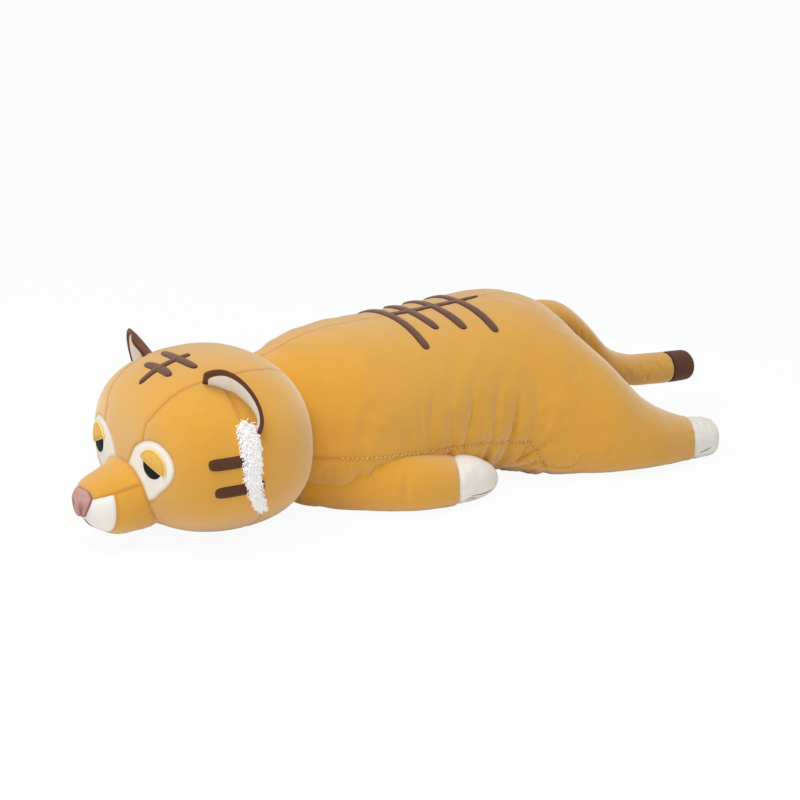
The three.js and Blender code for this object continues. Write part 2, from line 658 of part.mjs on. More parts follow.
for (const [side, word] of [[1, 'left'], [-1, 'right']]) {
  for (const limbName of ['front_leg', 'hind_leg']) {
    bodies[`${limbName}_${word}`] = new THREE.Group();
    group.add(bodies[`${limbName}_${word}`]);
  }
  // How far back and how far out the middle is, then the section's width, rise and middle level
  const frontShares = [
    [-0.36, -1.17, 0.53, 1, 0.8],
    [-0.06, -0.52, 0.71, 1.2, 0.86],
    [0.18, 0.3, 0.87, 1.2, 0.86],
    [0.38, 0.83, 0.97, 1.05, 0.8],
    [0.58, 1, 1, 0.9, 0.71],
    [0.8, 0.96, 0.92, 0.76, 0.66],
    [1, 0.87, 0.77, 0.52, 0.54],
  ];
  const frontRows = frontShares.map(([length, out, width, rise, level]) => {
    const middle = (level * FRONT_LEG_HEIGHT) / 2;
    return [SHOULDER_SPREAD + out * FRONT_LEG_SPREAD, SHOULDER_SET_BACK + length * FRONT_LEG_LENGTH,
      middle, (width * FRONT_LEG_WIDTH) / 2, (rise * FRONT_LEG_HEIGHT) / 2, middle + FLAT_DEPTH];
  });
  limb(`front_leg_${word}`, frontRows, [0.24, 0.2], side,
    new THREE.Vector3(side * SHOULDER_SPREAD, SHOULDER_SET_BACK, 0),
    [0, -side * FRONT_LEG_SWING / 2, -side * FRONT_LEG_SWING], bodyOver.add(headSweep),
    { length: FRONT_PAW_LENGTH, slant: FRONT_PAW_SLANT }, bodies[`front_leg_${word}`]);

  const hindShares = [
    [-0.12, -0.02, 0.98, 1.4, 0.6],
    [0.12, 0.12, 1.02, 1.48, 0.54],
    [0.34, 0.32, 1, 1.32, 0.46],
    [0.56, 0.46, 0.8, 0.71, 0.38],
    [0.78, 0.54, 0.56, 0.39, 0.33],
    [0.92, 0.57, 0.46, 0.3, 0.32],
    [1, 0.6, 0.44, 0.28, 0.32],
  ];
  const hindRows = hindShares.map(([length, spread, width, rise, level]) => {
    const middle = (level * THIGH_HEIGHT) / 2;
    return [HIP_SPREAD + spread * HIND_SPREAD, HIP_SET_BACK + length * HIND_LEG_LENGTH, middle,
      (width * THIGH_WIDTH) / 2, (rise * THIGH_HEIGHT) / 2, middle + FLAT_DEPTH];
  });
  limb(`hind_leg_${word}`, hindRows, [0.2, 0.14], side,
    new THREE.Vector3(side * HIP_SPREAD, HIP_SET_BACK, 0), [0, -side * HIND_LEG_SWING], bodyOver,
    { length: HIND_PAW_LENGTH, slant: HIND_PAW_SLANT }, bodies[`hind_leg_${word}`]);
}

// Tail

bodies.tail = new THREE.Group();
group.add(bodies.tail);
const tailShares = [
  [0, 0, 1.05], [0.14, 0.05, 1.02], [0.23, 0.17, 1], [0.33, 0.4, 1], [0.46, 0.74, 1],
  [0.6, 0.9, 0.98], [0.74, 0.95, 0.98], [0.87, 0.98, 0.98], [1, 1, 0.95],
];
const tailForm = formOf(tailShares.map(([length, drop, width]) => [
  0, TAIL_SET_BACK + length * TAIL_LENGTH, TAIL_ROOT_LEVEL - drop * TAIL_DROP,
  (width * TAIL_THICKNESS) / 2, (width * TAIL_THICKNESS) / 2, (width * TAIL_THICKNESS) / 2,
]), TAIL_RINGS, TAIL_SIDES, [0.06, 0.045]);
const tailPivot = new THREE.Vector3(0, BODY_LENGTH, 0);
const tailTurns = [-TAIL_SWING, 0, TAIL_SWING];
const tailOver = surface(bodyForm, TAIL_CLEARANCE);
const tailCloth = cutByBody(clothOf(tailForm), tailPivot, tailTurns, tailOver);
const tipSeam = TAIL_SET_BACK + TAIL_LENGTH - TAIL_TIP_LENGTH;
place('tail_cover', tailCloth.intersect(halfSpace('y', tipSeam - SEAM_GAP, -1)), 'golden_plush', bodies.tail);
place('tail_tip', tailCloth.intersect(halfSpace('y', tipSeam, 1)), 'brown_plush', bodies.tail);
place('tail_stuffing', cutByBody(surface(tailForm, inside), tailPivot, tailTurns, tailOver),
  'stuffing', bodies.tail);

// The origin goes under the middle of the whole toy
group.updateMatrixWorld(true);
const whole = new THREE.Box3().setFromObject(group, true);
const middle = whole.getCenter(new THREE.Vector3());
group.children.forEach((child) => child.position.sub(new THREE.Vector3(middle.x, middle.y, whole.min.z)));
group.updateMatrixWorld(true);

export default group;
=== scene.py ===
# %% [markdown]
# # A lying plush tiger, sewn in Blender
#
# The toy is a long pillow of short golden pile with a big round head on one end. This lesson
# makes the visible cloth of it around a fixed frame, the imported model, which says where every
# part sits and how the parts turn. The first cell loads that frame.

# %% Load the frame
import json
import math

import bpy
import numpy as np
from mathutils import Matrix, Vector
from mathutils.bvhtree import BVHTree
from mathutils.kdtree import KDTree

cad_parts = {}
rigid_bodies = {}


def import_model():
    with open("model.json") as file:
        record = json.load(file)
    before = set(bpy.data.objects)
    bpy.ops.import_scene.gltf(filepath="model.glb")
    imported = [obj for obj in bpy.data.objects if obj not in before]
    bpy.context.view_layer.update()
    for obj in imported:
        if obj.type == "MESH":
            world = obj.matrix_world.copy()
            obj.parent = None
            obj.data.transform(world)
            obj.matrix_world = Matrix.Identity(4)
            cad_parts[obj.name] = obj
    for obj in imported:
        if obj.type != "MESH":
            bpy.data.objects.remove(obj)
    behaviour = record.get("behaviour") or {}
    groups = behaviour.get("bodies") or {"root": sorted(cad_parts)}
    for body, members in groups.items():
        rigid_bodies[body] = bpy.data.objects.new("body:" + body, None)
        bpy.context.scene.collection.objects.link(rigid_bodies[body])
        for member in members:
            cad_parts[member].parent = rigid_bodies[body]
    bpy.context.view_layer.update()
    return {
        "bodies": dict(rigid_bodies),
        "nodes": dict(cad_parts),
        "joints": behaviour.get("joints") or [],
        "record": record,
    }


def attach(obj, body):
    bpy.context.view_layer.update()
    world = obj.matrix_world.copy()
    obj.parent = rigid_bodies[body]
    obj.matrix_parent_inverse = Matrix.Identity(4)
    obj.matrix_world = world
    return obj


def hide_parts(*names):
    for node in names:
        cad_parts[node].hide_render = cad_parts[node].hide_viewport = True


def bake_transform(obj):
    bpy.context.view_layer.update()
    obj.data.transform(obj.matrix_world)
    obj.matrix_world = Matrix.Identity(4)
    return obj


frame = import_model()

# %% [markdown]
# ## Where things are
#
# The head turns on the neck seam, so every table here counts its lengths from there, in metres.
# The frame has its origin under the middle of the toy, which puts the neck a fixed step behind
# it. The head is sewn on a little turned, so its own cloth is made straight and turned last.

# %% The neck, and the two ways from a table to the frame
NECK_AT = -0.241682
HEAD_TURN = math.radians(3)
ON_BODY = Matrix.Translation((0, NECK_AT, 0))
ON_HEAD = ON_BODY @ Matrix.Rotation(HEAD_TURN, 4, "Z")
SIDES = (("left", 1), ("right", -1))


def moved(points, matrix):
    """Points of a table, taken to their place in the frame."""
    turn = np.array(matrix.to_3x3())
    return points @ turn.T + np.array(matrix.translation)


# %% [markdown]
# ## A stuffed form
#
# A sewn and stuffed limb is a sleeve of cloth round a soft path: at each step it has a half
# width, a rise over the path and a drop under it, and its ends close in a round cap. Drawing
# such a form by hand in Sculpt Mode is quick but can't be repeated, so a small table and one
# smooth curve through its rows make it here. The section is a superellipse, a little fuller
# than a circle, because stuffing pushes cloth towards a square between its seams.

# %% Read a table as a smooth curve
def along(rows, t):
    """The table's values at shares t of its length, on a smooth curve through the rows."""
    last = len(rows) - 1
    place = np.clip(t, 0, 1) * last
    at = np.minimum(place.astype(int), last - 1)
    s = (place - at)[..., None]
    a, b, c, d = (rows[np.clip(at + k, 0, last)] for k in (-1, 0, 1, 2))
    return b + 0.5 * s * (c - a + s * (2 * a - 5 * b + 4 * c - d + s * (3 * (b - c) + d - a)))


def swelled(value, power):
    return np.sign(value) * np.abs(value) ** (2 / power)


def capped(t, cap, power):
    short = np.maximum(1 - t / cap, 0)
    return (1 - short**power) ** (1 / power)


# %% Rows of points, and the faces between them
def grid_faces(rows, columns, closed=True):
    """Squares between rows of points. Each row is a ring, or open."""
    i, j = np.meshgrid(np.arange(rows - 1), np.arange(columns if closed else columns - 1), indexing="ij")
    near, far = i * columns + j, i * columns + (j + 1) % columns
    return np.stack([near, far, far + columns, near + columns], -1).reshape(-1, 4)


def tube_faces(rows, sides):
    """Faces of a tube of rings, closed by one more point at each end."""
    faces = grid_faces(rows, sides)[:, [0, 3, 2, 1]].tolist()
    first, low = rows * sides, (rows - 1) * sides
    for k in range(sides):
        n = (k + 1) % sides
        faces += [[first, k, n], [first + 1, low + n, low + k]]
    return faces


def gone_along(line):
    """How far along a line each of its points lies."""
    return np.concatenate([[0], np.cumsum(np.linalg.norm(np.diff(line, axis=0), axis=1))])


# %% A form: a table, its caps and its fullness
class Form:
    """A closed stuffed shape along a path. Rows hold x, y, z, half width, rise and drop."""

    def __init__(self, rows, caps, power=2.0, low_power=None):
        self.rows = np.array(rows, float)
        self.caps = caps
        self.power = power
        self.low_power = low_power or power

    def at(self, t, angle):
        """Points at shares t along the path and angles round it."""
        t, angle = np.broadcast_arrays(np.asarray(t, float), np.asarray(angle, float))
        x, y, z, half, rise, drop = np.moveaxis(along(self.rows, t), -1, 0)
        full = capped(t, self.caps[0], self.power) * capped(1 - t, self.caps[1], self.power)
        way = along(self.rows, np.minimum(t + 0.01, 1)) - along(self.rows, np.maximum(t - 0.01, 0))
        way = way[..., :2] / np.linalg.norm(way[..., :2], axis=-1, keepdims=True)
        bend = np.where(np.sin(angle) < 0, self.low_power, self.power)
        side = full * half * swelled(np.cos(angle), bend)
        height = swelled(np.sin(angle), bend)
        up = full * np.where(height > 0, rise, drop) * height
        return np.stack([x + way[..., 1] * side, y - way[..., 0] * side, z + up], -1)

    def rings(self, step):
        """Shares of the path at which rings lie about one step apart over the cloth."""
        fine = 0.5 - 0.5 * np.cos(np.pi * np.linspace(0, 1, 1201))
        length = 0
        for angle in (0, 0.25, 0.5, 0.75):
            lines = np.diff(self.at(fine, angle * 2 * np.pi), axis=0)
            length = length + np.linalg.norm(lines, axis=1) / 4
        gone = np.concatenate([[0], np.cumsum(length)])
        count = max(8, round(gone[-1] / step))
        return np.interp(np.linspace(0, gone[-1], count + 1), gone, fine)

    def mesh(self, step):
        """Points and faces of the closed form."""
        shares = self.rings(step)
        girth = np.max(self.rows[:, 3]) * 2 + np.max(self.rows[:, 4] + self.rows[:, 5])
        sides = max(12, 4 * round(1.6 * girth / step / 4))
        angles = np.linspace(0, 2 * np.pi, sides, endpoint=False)
        grid = self.at(shares[1:-1, None], angles[None, :])
        points = np.concatenate([grid.reshape(-1, 3), self.at([0.0, 1.0], [0.0, 0.0])])
        return points, tube_faces(len(grid), sides)


# %% [markdown]
# ## Distances
#
# Where two stuffed forms are sewn into one, the cloth runs over the joint in a soft hollow. To
# round that hollow off, and to know how far each bit of cloth is from a seam, the script asks
# for distances to a surface. A BVH tree answers that fast for many thousand points.

# %% The distance from points to a form
SURFACE_STEP = 0.006


def tree_of(points, faces):
    return BVHTree.FromPolygons(points.tolist(), faces)


def reach(tree, points):
    """Distance of each point to the surface, below zero inside, and the way straight out."""
    far = np.empty(len(points))
    out = np.empty((len(points), 3))
    for i, point in enumerate(points.tolist()):
        place, normal, _, distance = tree.find_nearest(point)
        off = Vector(point) - place
        inside = off.dot(normal) < 0
        far[i] = -distance if inside else distance
        way = normal if distance < 1e-6 else (-off if inside else off) / distance
        out[i] = way
    return far, out


def fused(trees, points, softness):
    """Distance to several forms sewn into one, whose joints are rounded off, and the way out."""
    far, out = reach(trees[0], points)
    for tree in trees[1:]:
        other, way = reach(tree, points)
        share = np.clip(0.5 + 0.5 * (other - far) / softness, 0, 1)
        far = other * (1 - share) + far * share - softness * share * (1 - share)
        out = way * (1 - share)[:, None] + out * share[:, None]
    return far, out / np.maximum(np.linalg.norm(out, axis=1, keepdims=True), 1e-9)


# %% [markdown]
# ## One skin of even cloth
#
# A form's own rings crowd together at its poles, where the cloth would pinch. The Remesh
# modifier turns any closed shape, or several that overlap, into one skin of even small squares.
# Each point of it is then moved exactly onto the forms again, as the remesh is a little rough.

# %% Blender's modifiers on plain arrays
def new_mesh(name, points, faces, marks=None):
    mesh = bpy.data.meshes.new(name)
    mesh.from_pydata(np.asarray(points).tolist(), [], [list(face) for face in faces])
    if marks is not None:
        mesh.polygons.foreach_set("material_index", np.asarray(marks, dtype=np.int32))
    mesh.update()
    return mesh


def in_scene(name, data):
    obj = bpy.data.objects.new(name, data)
    bpy.context.scene.collection.objects.link(obj)
    return obj


def evaluated(obj):
    return obj.evaluated_get(bpy.context.evaluated_depsgraph_get())


def arrays_of(mesh):
    """A mesh of squares as arrays: its points, its faces and the number on each face."""
    points = np.empty(len(mesh.vertices) * 3)
    mesh.vertices.foreach_get("co", points)
    faces = np.empty(len(mesh.loops), dtype=np.int32)
    mesh.loops.foreach_get("vertex_index", faces)
    marks = np.empty(len(mesh.polygons), dtype=np.int32)
    mesh.polygons.foreach_get("material_index", marks)
    return points.reshape(-1, 3), faces.reshape(-1, 4), marks


def through(points, faces, marks, kind, **settings):
    """The arrays after one modifier of that kind."""
    mesh = new_mesh("pattern", points, faces, marks)
    for _ in range(16):
        mesh.materials.append(None)
    obj = in_scene("pattern", mesh)
    modifier = obj.modifiers.new("step", kind)
    for key, value in settings.items():
        setattr(modifier, key, value)
    result = bpy.data.meshes.new_from_object(evaluated(obj))
    done = arrays_of(result)
    bpy.data.objects.remove(obj)
    for used in (mesh, result):
        bpy.data.meshes.remove(used)
    return done


# %% A skin: arrays with their neighbours
def edges_of(faces):
    """Each edge once, with the two faces that share it."""
    sides = np.stack([faces, np.roll(faces, -1, axis=1)], -1).reshape(-1, 2)
    sides = np.sort(sides, axis=1)
    owner = np.repeat(np.arange(len(faces)), 4)
    order = np.lexsort((sides[:, 1], sides[:, 0]))
    sides, owner = sides[order], owner[order]
    return sides[0::2], np.stack([owner[0::2], owner[1::2]], -1)


def seam_edges(edges, ends, one, two):
    """The edges between the panels one and the panels two, for the panels at each edge."""
    return edges[(np.isin(ends[:, 0], one) & np.isin(ends[:, 1], two)) | (
        np.isin(ends[:, 1], one) & np.isin(ends[:, 0], two))]


def normals_of(points, faces):
    a, b, c, d = (points[faces[:, k]] for k in range(4))
    flat = np.cross(c - a, d - b)
    out = np.zeros_like(points)
    for k in range(4):
        np.add.at(out, faces[:, k], flat)
    return out / np.maximum(np.linalg.norm(out, axis=1, keepdims=True), 1e-12)


def averaged(points, edges, count):
    """Each point's mean of its neighbours over those edges, and itself where it has none."""
    total = np.zeros((count, 3))
    number = np.zeros(count)
    for a, b in ((0, 1), (1, 0)):
        np.add.at(total, edges[:, a], points[edges[:, b]])
        np.add.at(number, edges[:, a], 1)
    mean = points.copy()
    some = number > 0
    mean[some] = total[some] / number[some, None]
    return mean


def skin_of(forms, cell, softness):
    """One even skin round several forms. Returns its points, its faces and the forms' trees."""
    points, faces, trees = [], [], []
    start = 0
    for form in forms:
        more, patches = form.mesh(SURFACE_STEP)
        trees.append(tree_of(more, patches))
        points.append(more)
        faces += [[start + k for k in patch] for patch in patches]
        start += len(more)
    points, faces, _ = through(np.concatenate(points), faces, None, "REMESH",
                               mode="VOXEL", voxel_size=cell)
    points, faces = largest(points, faces)
    for _ in range(2):
        far, out = fused(trees, points, softness)
        points = points - far[:, None] * out
        edges, _ = edges_of(faces)
        normal = normals_of(points, faces)
        slide = averaged(points, edges, len(points)) - points
        slide -= np.sum(slide * normal, axis=1, keepdims=True) * normal
        points = points + 0.5 * slide
    return points, faces, trees


def largest(points, faces):
    """Only the biggest connected shell, so no crumb inside is kept."""
    group = np.arange(len(points))
    edges, _ = edges_of(faces)
    while True:
        low = np.minimum(group[edges[:, 0]], group[edges[:, 1]])
        before = group.copy()
        np.minimum.at(group, edges[:, 0], low)
        np.minimum.at(group, edges[:, 1], low)
        group = group[group]
        if np.array_equal(before, group):
            break
    names, counts = np.unique(group[faces[:, 0]], return_counts=True)
    kept = faces[group[faces[:, 0]] == names[np.argmax(counts)]]
    used, back = np.unique(kept, return_inverse=True)
    return points[used], back.reshape(-1, 4)


# %% [markdown]
# ## Seams
#
# Plush is cut from flat panels and sewn inside out, so a seam shows as a fine valley in which
# the pile stands a little apart, and the thread gathers the cloth beside it into small puckers.
# Each skin is marked panel by panel first. The points between two panels are then slid onto
# the exact seam line, so that the panels can be taken apart later along a clean edge.

# %% Mark the panels and straighten the lines between them
def settle_seams(points, faces, marks, seams, rounds=6):
    """Slides the points between panels onto their seam lines and evens out the rest.

    seams is a list of (panels on one side, panels on the other, function that is 0 on the line).
    """
    edges, owners = edges_of(faces)
    ends = marks[owners]
    between = edges[ends[:, 0] != ends[:, 1]]
    lines = [(np.unique(seam_edges(edges, ends, one, two)), line) for one, two, line in seams]
    on_line = np.zeros(len(points), bool)
    on_line[between.ravel()] = True
    for _ in range(rounds):
        normal = normals_of(points, faces)
        mean = averaged(points, edges, len(points))
        along_line = averaged(points, between, len(points))
        mean[on_line] = along_line[on_line]
        slide = mean - points
        slide -= np.sum(slide * normal, axis=1, keepdims=True) * normal
        points = points + 0.5 * slide
        for members, line in lines:
            if len(members):
                points[members] = slid_to(points[members], normal[members], line)
    return points


def slid_to(points, normal, line, probe=0.0004, limit=0.003):
    """Moves points along the cloth until line(points) is 0."""
    for _ in range(2):
        value = line(points)
        slope = np.empty_like(points)
        for axis in range(3):
            step = np.zeros(3)
            step[axis] = probe
            slope[:, axis] = (line(points + step) - value) / probe
        slope -= np.sum(slope * normal, axis=1, keepdims=True) * normal
        size = np.sum(slope**2, axis=1, keepdims=True)
        move = -value[:, None] * slope / np.maximum(size, 1e-3)
        long = np.linalg.norm(move, axis=1, keepdims=True)
        points = points + move * np.minimum(1, limit / np.maximum(long, 1e-9))
    return points


# %% Ripples, the uneven waves that thread and creases leave in cloth
def ripple(place, pitch, seed):
    """An uneven wave of about that pitch, between -1 and 1."""
    random = np.random.default_rng(seed)
    total = 0
    for share in (0.62, 0.81, 1.0, 1.37, 1.9):
        total = total + np.sin(2 * np.pi * place / (pitch * share) + random.uniform(0, 2 * np.pi))
    return total / 3


def fade(distance, width):
    """1 on the line, and smoothly down to 0 at that width."""
    share = np.clip(1 - distance / width, 0, 1)
    return share * share * (3 - 2 * share)


def seam_points(points, faces, marks, one, two):
    """The points on the seam between two sets of panels, in order, as runs."""
    edges, owners = edges_of(faces)
    links = {}
    for a, b in seam_edges(edges, marks[owners], one, two).tolist():
        links.setdefault(a, []).append(b)
        links.setdefault(b, []).append(a)
    runs = []
    while links:
        start = next((k for k, v in links.items() if len(v) == 1), next(iter(links)))
        run = [start]
        while True:
            here = run[-1]
            if not links.get(here):
                break
            after = links[here].pop()
            links[after].remove(here)
            run.append(after)
        for k in [k for k, v in links.items() if not v]:
            del links[k]
        if len(run) > 3:
            runs.append(run)
    return runs


def near_runs(points, lines):
    """For each point the distance to the nearest line, and how far along that line it is."""
    total = sum(len(line) for line in lines)
    if not total:
        return np.full(len(points), 1.0), np.zeros(len(points))
    tree = KDTree(total)
    gone = np.concatenate([gone_along(line) for line in lines])
    for i, point in enumerate(np.concatenate(lines).tolist()):
        tree.insert(point, i)
    tree.balance()
    found = [tree.find(point) for point in points.tolist()]
    return np.array([hit[2] for hit in found]), gone[[hit[1] for hit in found]]


def valley(points, normal, distance, place, width, depth, pucker=0.0, pitch=0.012, length=0.02,
           seed=1):
    """Sinks cloth at a seam, with puckers that run out from it."""
    sink = depth * np.clip(1 - distance / width, 0, 1) ** 2
    wave = ripple(place + 0.15 * distance * ripple(place, 2.3 * pitch, seed + 5), pitch, seed)
    pull = np.where(wave < 0, 1.3 * wave, 0.5 * wave) * pucker
    pull = pull * fade(distance, length) * (1 - 0.4 * fade(distance, width))
    return points + normal * (pull - sink)[:, None]

# %% [markdown]
# ## Plush, as a material
#
# Short pile has three looks at once. Close up it is a fine grain, a step back it is slightly
# mottled where the pile leans this way or that, and at its edges it glows, because the hair
# tips catch the light. The first two are the same for every plush here, so they are built once
# as a node group with named inputs. The group also darkens the pile towards its darker colour by
# each point's seam share: painted shade in the valleys of seams and folds, and the dark stitched
# edges of sewn-on pieces. The glow is the Sheen of the Principled BSDF, which stays in each
# material. An image of fur would need UVs and shows its tiling, so noise is used.

# %% Colours as they are seen, and a tidy way to add nodes
def colour(red, green, blue):
    """A colour given as it looks on screen, from 0 to 255, for a shader."""
    shares = [v / 255 for v in (red, green, blue)]
    return (*(s / 12.92 if s <= 0.0405 else ((s + 0.055) / 1.055) ** 2.4 for s in shares), 1.0)


def feed(tree, socket, value):
    """Links a socket, or a node's first output, to the socket, or sets it to a plain value."""
    if isinstance(value, bpy.types.Node):
        value = value.outputs[0]
    if isinstance(value, bpy.types.NodeSocket):
        tree.links.new(value, socket)
    else:
        socket.default_value = value


def add_node(tree, kind, label, *first, **named):
    """A node: its settings in small letters, its inputs by name, or in order from the first."""
    node = tree.nodes.new(kind)
    node.label = label
    for key in [key for key in named if key.islower()]:
        setattr(node, key, named.pop(key))
    for key, value in named.items():
        feed(tree, node.inputs[key.replace("_", " ")], value)
    for socket, value in zip(node.inputs, first):
        feed(tree, socket, value)
    return node


def mixed(tree, label, kind, factor, one, two):
    """What a Mix node makes of two colours or two numbers."""
    node = add_node(tree, "ShaderNodeMix", label, factor, data_type=kind)
    offset = {"FLOAT": 2, "RGBA": 6}[kind]
    feed(tree, node.inputs[offset], one)
    feed(tree, node.inputs[offset + 1], two)
    return node.outputs[{"FLOAT": 0, "RGBA": 2}[kind]]


def maths(tree, label, operation, *values, clamp=False):
    return add_node(tree, "ShaderNodeMath", label, *values, operation=operation, use_clamp=clamp)


FLOAT, COLOUR, GEOMETRY = "NodeSocketFloat", "NodeSocketColor", "NodeSocketGeometry"


def new_tree(name, kind, inputs, outputs):
    """A node tree with named sockets: the tree, what it is given and what it gives."""
    tree = bpy.data.node_groups.new(name, kind)
    for way, wanted in (("INPUT", inputs), ("OUTPUT", outputs)):
        for label, socket_kind, *value in wanted:
            socket = tree.interface.new_socket(label, in_out=way, socket_type=socket_kind)
            if value:
                socket.default_value = value[0]
    return tree, tree.nodes.new("NodeGroupInput").outputs, tree.nodes.new("NodeGroupOutput").inputs


# %% The pile group
def make_pile_group():
    group, given, result = new_tree("pile", "ShaderNodeTree", [
        ("Colour", COLOUR, (0.7, 0.4, 0.1, 1)), ("Hollow", COLOUR, (0.4, 0.2, 0.05, 1)),
        ("Grain Scale", FLOAT, 620.0), ("Mottle Scale", FLOAT, 26.0), ("Mottle", FLOAT, 0.35),
        ("Grain Height", FLOAT, 0.0006), ("Roughness", FLOAT, 0.85),
    ], [("Colour", COLOUR), ("Roughness", FLOAT), ("Normal", "NodeSocketVector")])
    place = add_node(group, "ShaderNodeTexCoord", "place").outputs["Object"]
    combed = add_node(group, "ShaderNodeMapping", "combed down", Vector=place, Scale=(1.0, 0.55, 0.3))
    grain = add_node(group, "ShaderNodeTexNoise", "hair tips", Vector=place, Scale=given["Grain Scale"],
                     Detail=3.0, Roughness=0.6)
    mottle = add_node(group, "ShaderNodeTexNoise", "leaning pile", Vector=place,
                      Scale=given["Mottle Scale"], Detail=4.0, Roughness=0.55, Distortion=0.6)
    patch = add_node(group, "ShaderNodeTexNoise", "brushed patches", Vector=combed, Scale=95.0, Detail=3.0)

    soft = maths(group, "soft mottle", "MULTIPLY_ADD", mottle, 2.2, -0.6, clamp=True)
    blend = mixed(group, "mottle and patches", "FLOAT", 0.35, soft, patch)
    blend = mixed(group, "with grain", "FLOAT", 0.3, blend, grain)
    amount = maths(group, "how much", "MULTIPLY", blend, given["Mottle"])
    # Painted shade: the seam share of a point darkens its pile towards the darker colour, in the valleys of
    # seams and darts and in the nose's folds; on sewn-on stripes and the eyelids it draws their dark
    # stitched lines.
    seam = add_node(group, "ShaderNodeAttribute", "seam", attribute_name="seam").outputs["Fac"]
    amount = maths(group, "deeper at seams", "ADD", amount, seam, clamp=True)
    height = mixed(group, "grain over patches", "FLOAT", 0.3, grain, patch)
    bump = add_node(group, "ShaderNodeBump", "pile height", Strength=0.55, Height=height,
                    Distance=given["Grain Height"])
    feed(group, result["Colour"],
         mixed(group, "pile colour", "RGBA", amount, given["Colour"], given["Hollow"]))
    feed(group, result["Roughness"], mixed(group, "rough tips", "FLOAT", grain, given["Roughness"], 1.0))
    feed(group, result["Normal"], bump)
    return group


pile_group = make_pile_group()
print("pile inputs:", [s.name for s in pile_group.interface.items_tree if s.in_out == "INPUT"])


# %% One plush material
def plush(name, main, mottle_and_shade, glow, sheen=0.35, sheen_roughness=0.5, **values):
    """A plush finish. main is the seen colour of the pile, and the second colour a darker one, mixed in at
    random as mottle and by the seam share as painted shade. glow is the tint at its edges.
    """
    material = bpy.data.materials.new(name)
    material.use_nodes = True
    material.diffuse_color = colour(*main)
    tree = material.node_tree
    pile = add_node(tree, "ShaderNodeGroup", "pile", node_tree=pile_group, Colour=colour(*main),
                    Hollow=colour(*mottle_and_shade), **values)
    shader = tree.nodes["Principled BSDF"].inputs
    for key, socket in (("Base Color", "Colour"), ("Roughness", "Roughness"), ("Normal", "Normal")):
        feed(tree, shader[key], pile.outputs[socket])
    for key, value in (("Specular IOR Level", 0.15), ("Sheen Weight", sheen),
                       ("Sheen Roughness", sheen_roughness), ("Sheen Tint", colour(*glow))):
        shader[key].default_value = value
    return material


golden = plush("golden plush", (225, 163, 40), (195, 133, 18), (255, 247, 230), sheen=0.85,
               sheen_roughness=0.6)
brown = plush("brown plush", (98, 62, 46), (62, 36, 24), (230, 190, 175), sheen=0.45)
stripe_brown = plush("brown stripe plush", (106, 70, 54), (52, 30, 20), (238, 208, 198), sheen=0.8)
cream = plush("cream plush", (248, 245, 238), (226, 222, 213), (255, 252, 245), sheen=0.2)
cheek_brown = plush("brown cheek stripe plush", (96, 60, 42), (48, 28, 18), (225, 190, 175), sheen=0.4)
ear_brown = plush("brown ear plush", (98, 60, 40), (70, 40, 26), (220, 180, 165), sheen=0.35)
felt = plush("white felt", (250, 246, 238), (215, 192, 158), (255, 252, 245), sheen=0.15, Mottle=0.12,
             Grain_Height=0.0003)

# %% [markdown]
# ## The trunk and the thighs
#
# On the toy the side panel runs over the rump and straight on into the thigh, with no seam
# between them. So the trunk and both hind legs are made as three stuffed forms and fused into
# one skin, with the hollow between them rounded off wide. The belly is its own panel.

# %% Sizes of the trunk
BODY_LENGTH, BODY_WIDTH, BODY_HEIGHT = 0.5, 0.276, 0.236
BODY_INSET = 0.02
FLAT_DEPTH = 0.0005
BODY_LEVEL = 0.44 * BODY_HEIGHT
CUSHION, LYING = 2.25, 2.6
BODY_SHARES = [
    (0, 0.5, 0.72, 0.6), (0.1, 0.58, 0.8, 0.66), (0.16, 0.72, 0.88, 0.78),
    (0.25, 0.87, 0.94, 0.95), (0.36, 0.92, 0.95, 1), (0.5, 0.94, 0.945, 1),
    (0.66, 0.98, 0.96, 1), (0.8, 1, 0.97, 1), (0.91, 0.9, 0.84, 0.9), (1, 0.6, 0.5, 0.6),
]
body_form = Form([
    (0, length * (BODY_LENGTH + BODY_INSET) - BODY_INSET, BODY_LEVEL, width * BODY_WIDTH / 2,
     rise * (BODY_HEIGHT - BODY_LEVEL), drop * (BODY_LEVEL + FLAT_DEPTH))
    for length, width, rise, drop in BODY_SHARES], caps=(0.05, 0.127), power=CUSHION, low_power=LYING)

# %% Sizes of the hind legs
HIND_LEG_LENGTH, THIGH_WIDTH, THIGH_HEIGHT = 0.252, 0.136, 0.168
HIP_SPREAD, HIP_BACK, HIND_SPREAD = 0.074, 0.398, 0.162
HIND_PAW = (0.043, math.radians(14))
HIND_SHARES = [
    (-0.12, -0.02, 0.98, 1.4, 0.6), (0.12, 0.12, 1.02, 1.48, 0.54), (0.34, 0.32, 1, 1.32, 0.46),
    (0.56, 0.46, 0.8, 0.71, 0.38), (0.78, 0.54, 0.56, 0.39, 0.33), (0.92, 0.57, 0.46, 0.3, 0.32),
    (1, 0.6, 0.44, 0.28, 0.32),
]


def hind_leg_form(side):
    return Form([
        (side * (HIP_SPREAD + spread * HIND_SPREAD), HIP_BACK + length * HIND_LEG_LENGTH,
         level * THIGH_HEIGHT / 2, width * THIGH_WIDTH / 2, rise * THIGH_HEIGHT / 2,
         level * THIGH_HEIGHT / 2 + FLAT_DEPTH)
        for length, spread, width, rise, level in HIND_SHARES], caps=(0.2, 0.14), power=CUSHION,
            low_power=LYING)


def paw_line(form, length, slant=0.0):
    """A function that is 0 on the seam between a leg's cover and its paw, above 0 on the paw.

    By the slant, the paw reaches further forward on the leg's outer side.
    """
    end, before = form.rows[-1, :2], form.rows[-3, :2]
    way = (end - before) / np.linalg.norm(end - before)
    start = end - way * length
    slant = math.copysign(slant, end[0])
    way = np.array([way[0] * math.cos(slant) + way[1] * math.sin(slant),
                    way[1] * math.cos(slant) - way[0] * math.sin(slant)])
    return lambda points: (points[:, :2] - start) @ way


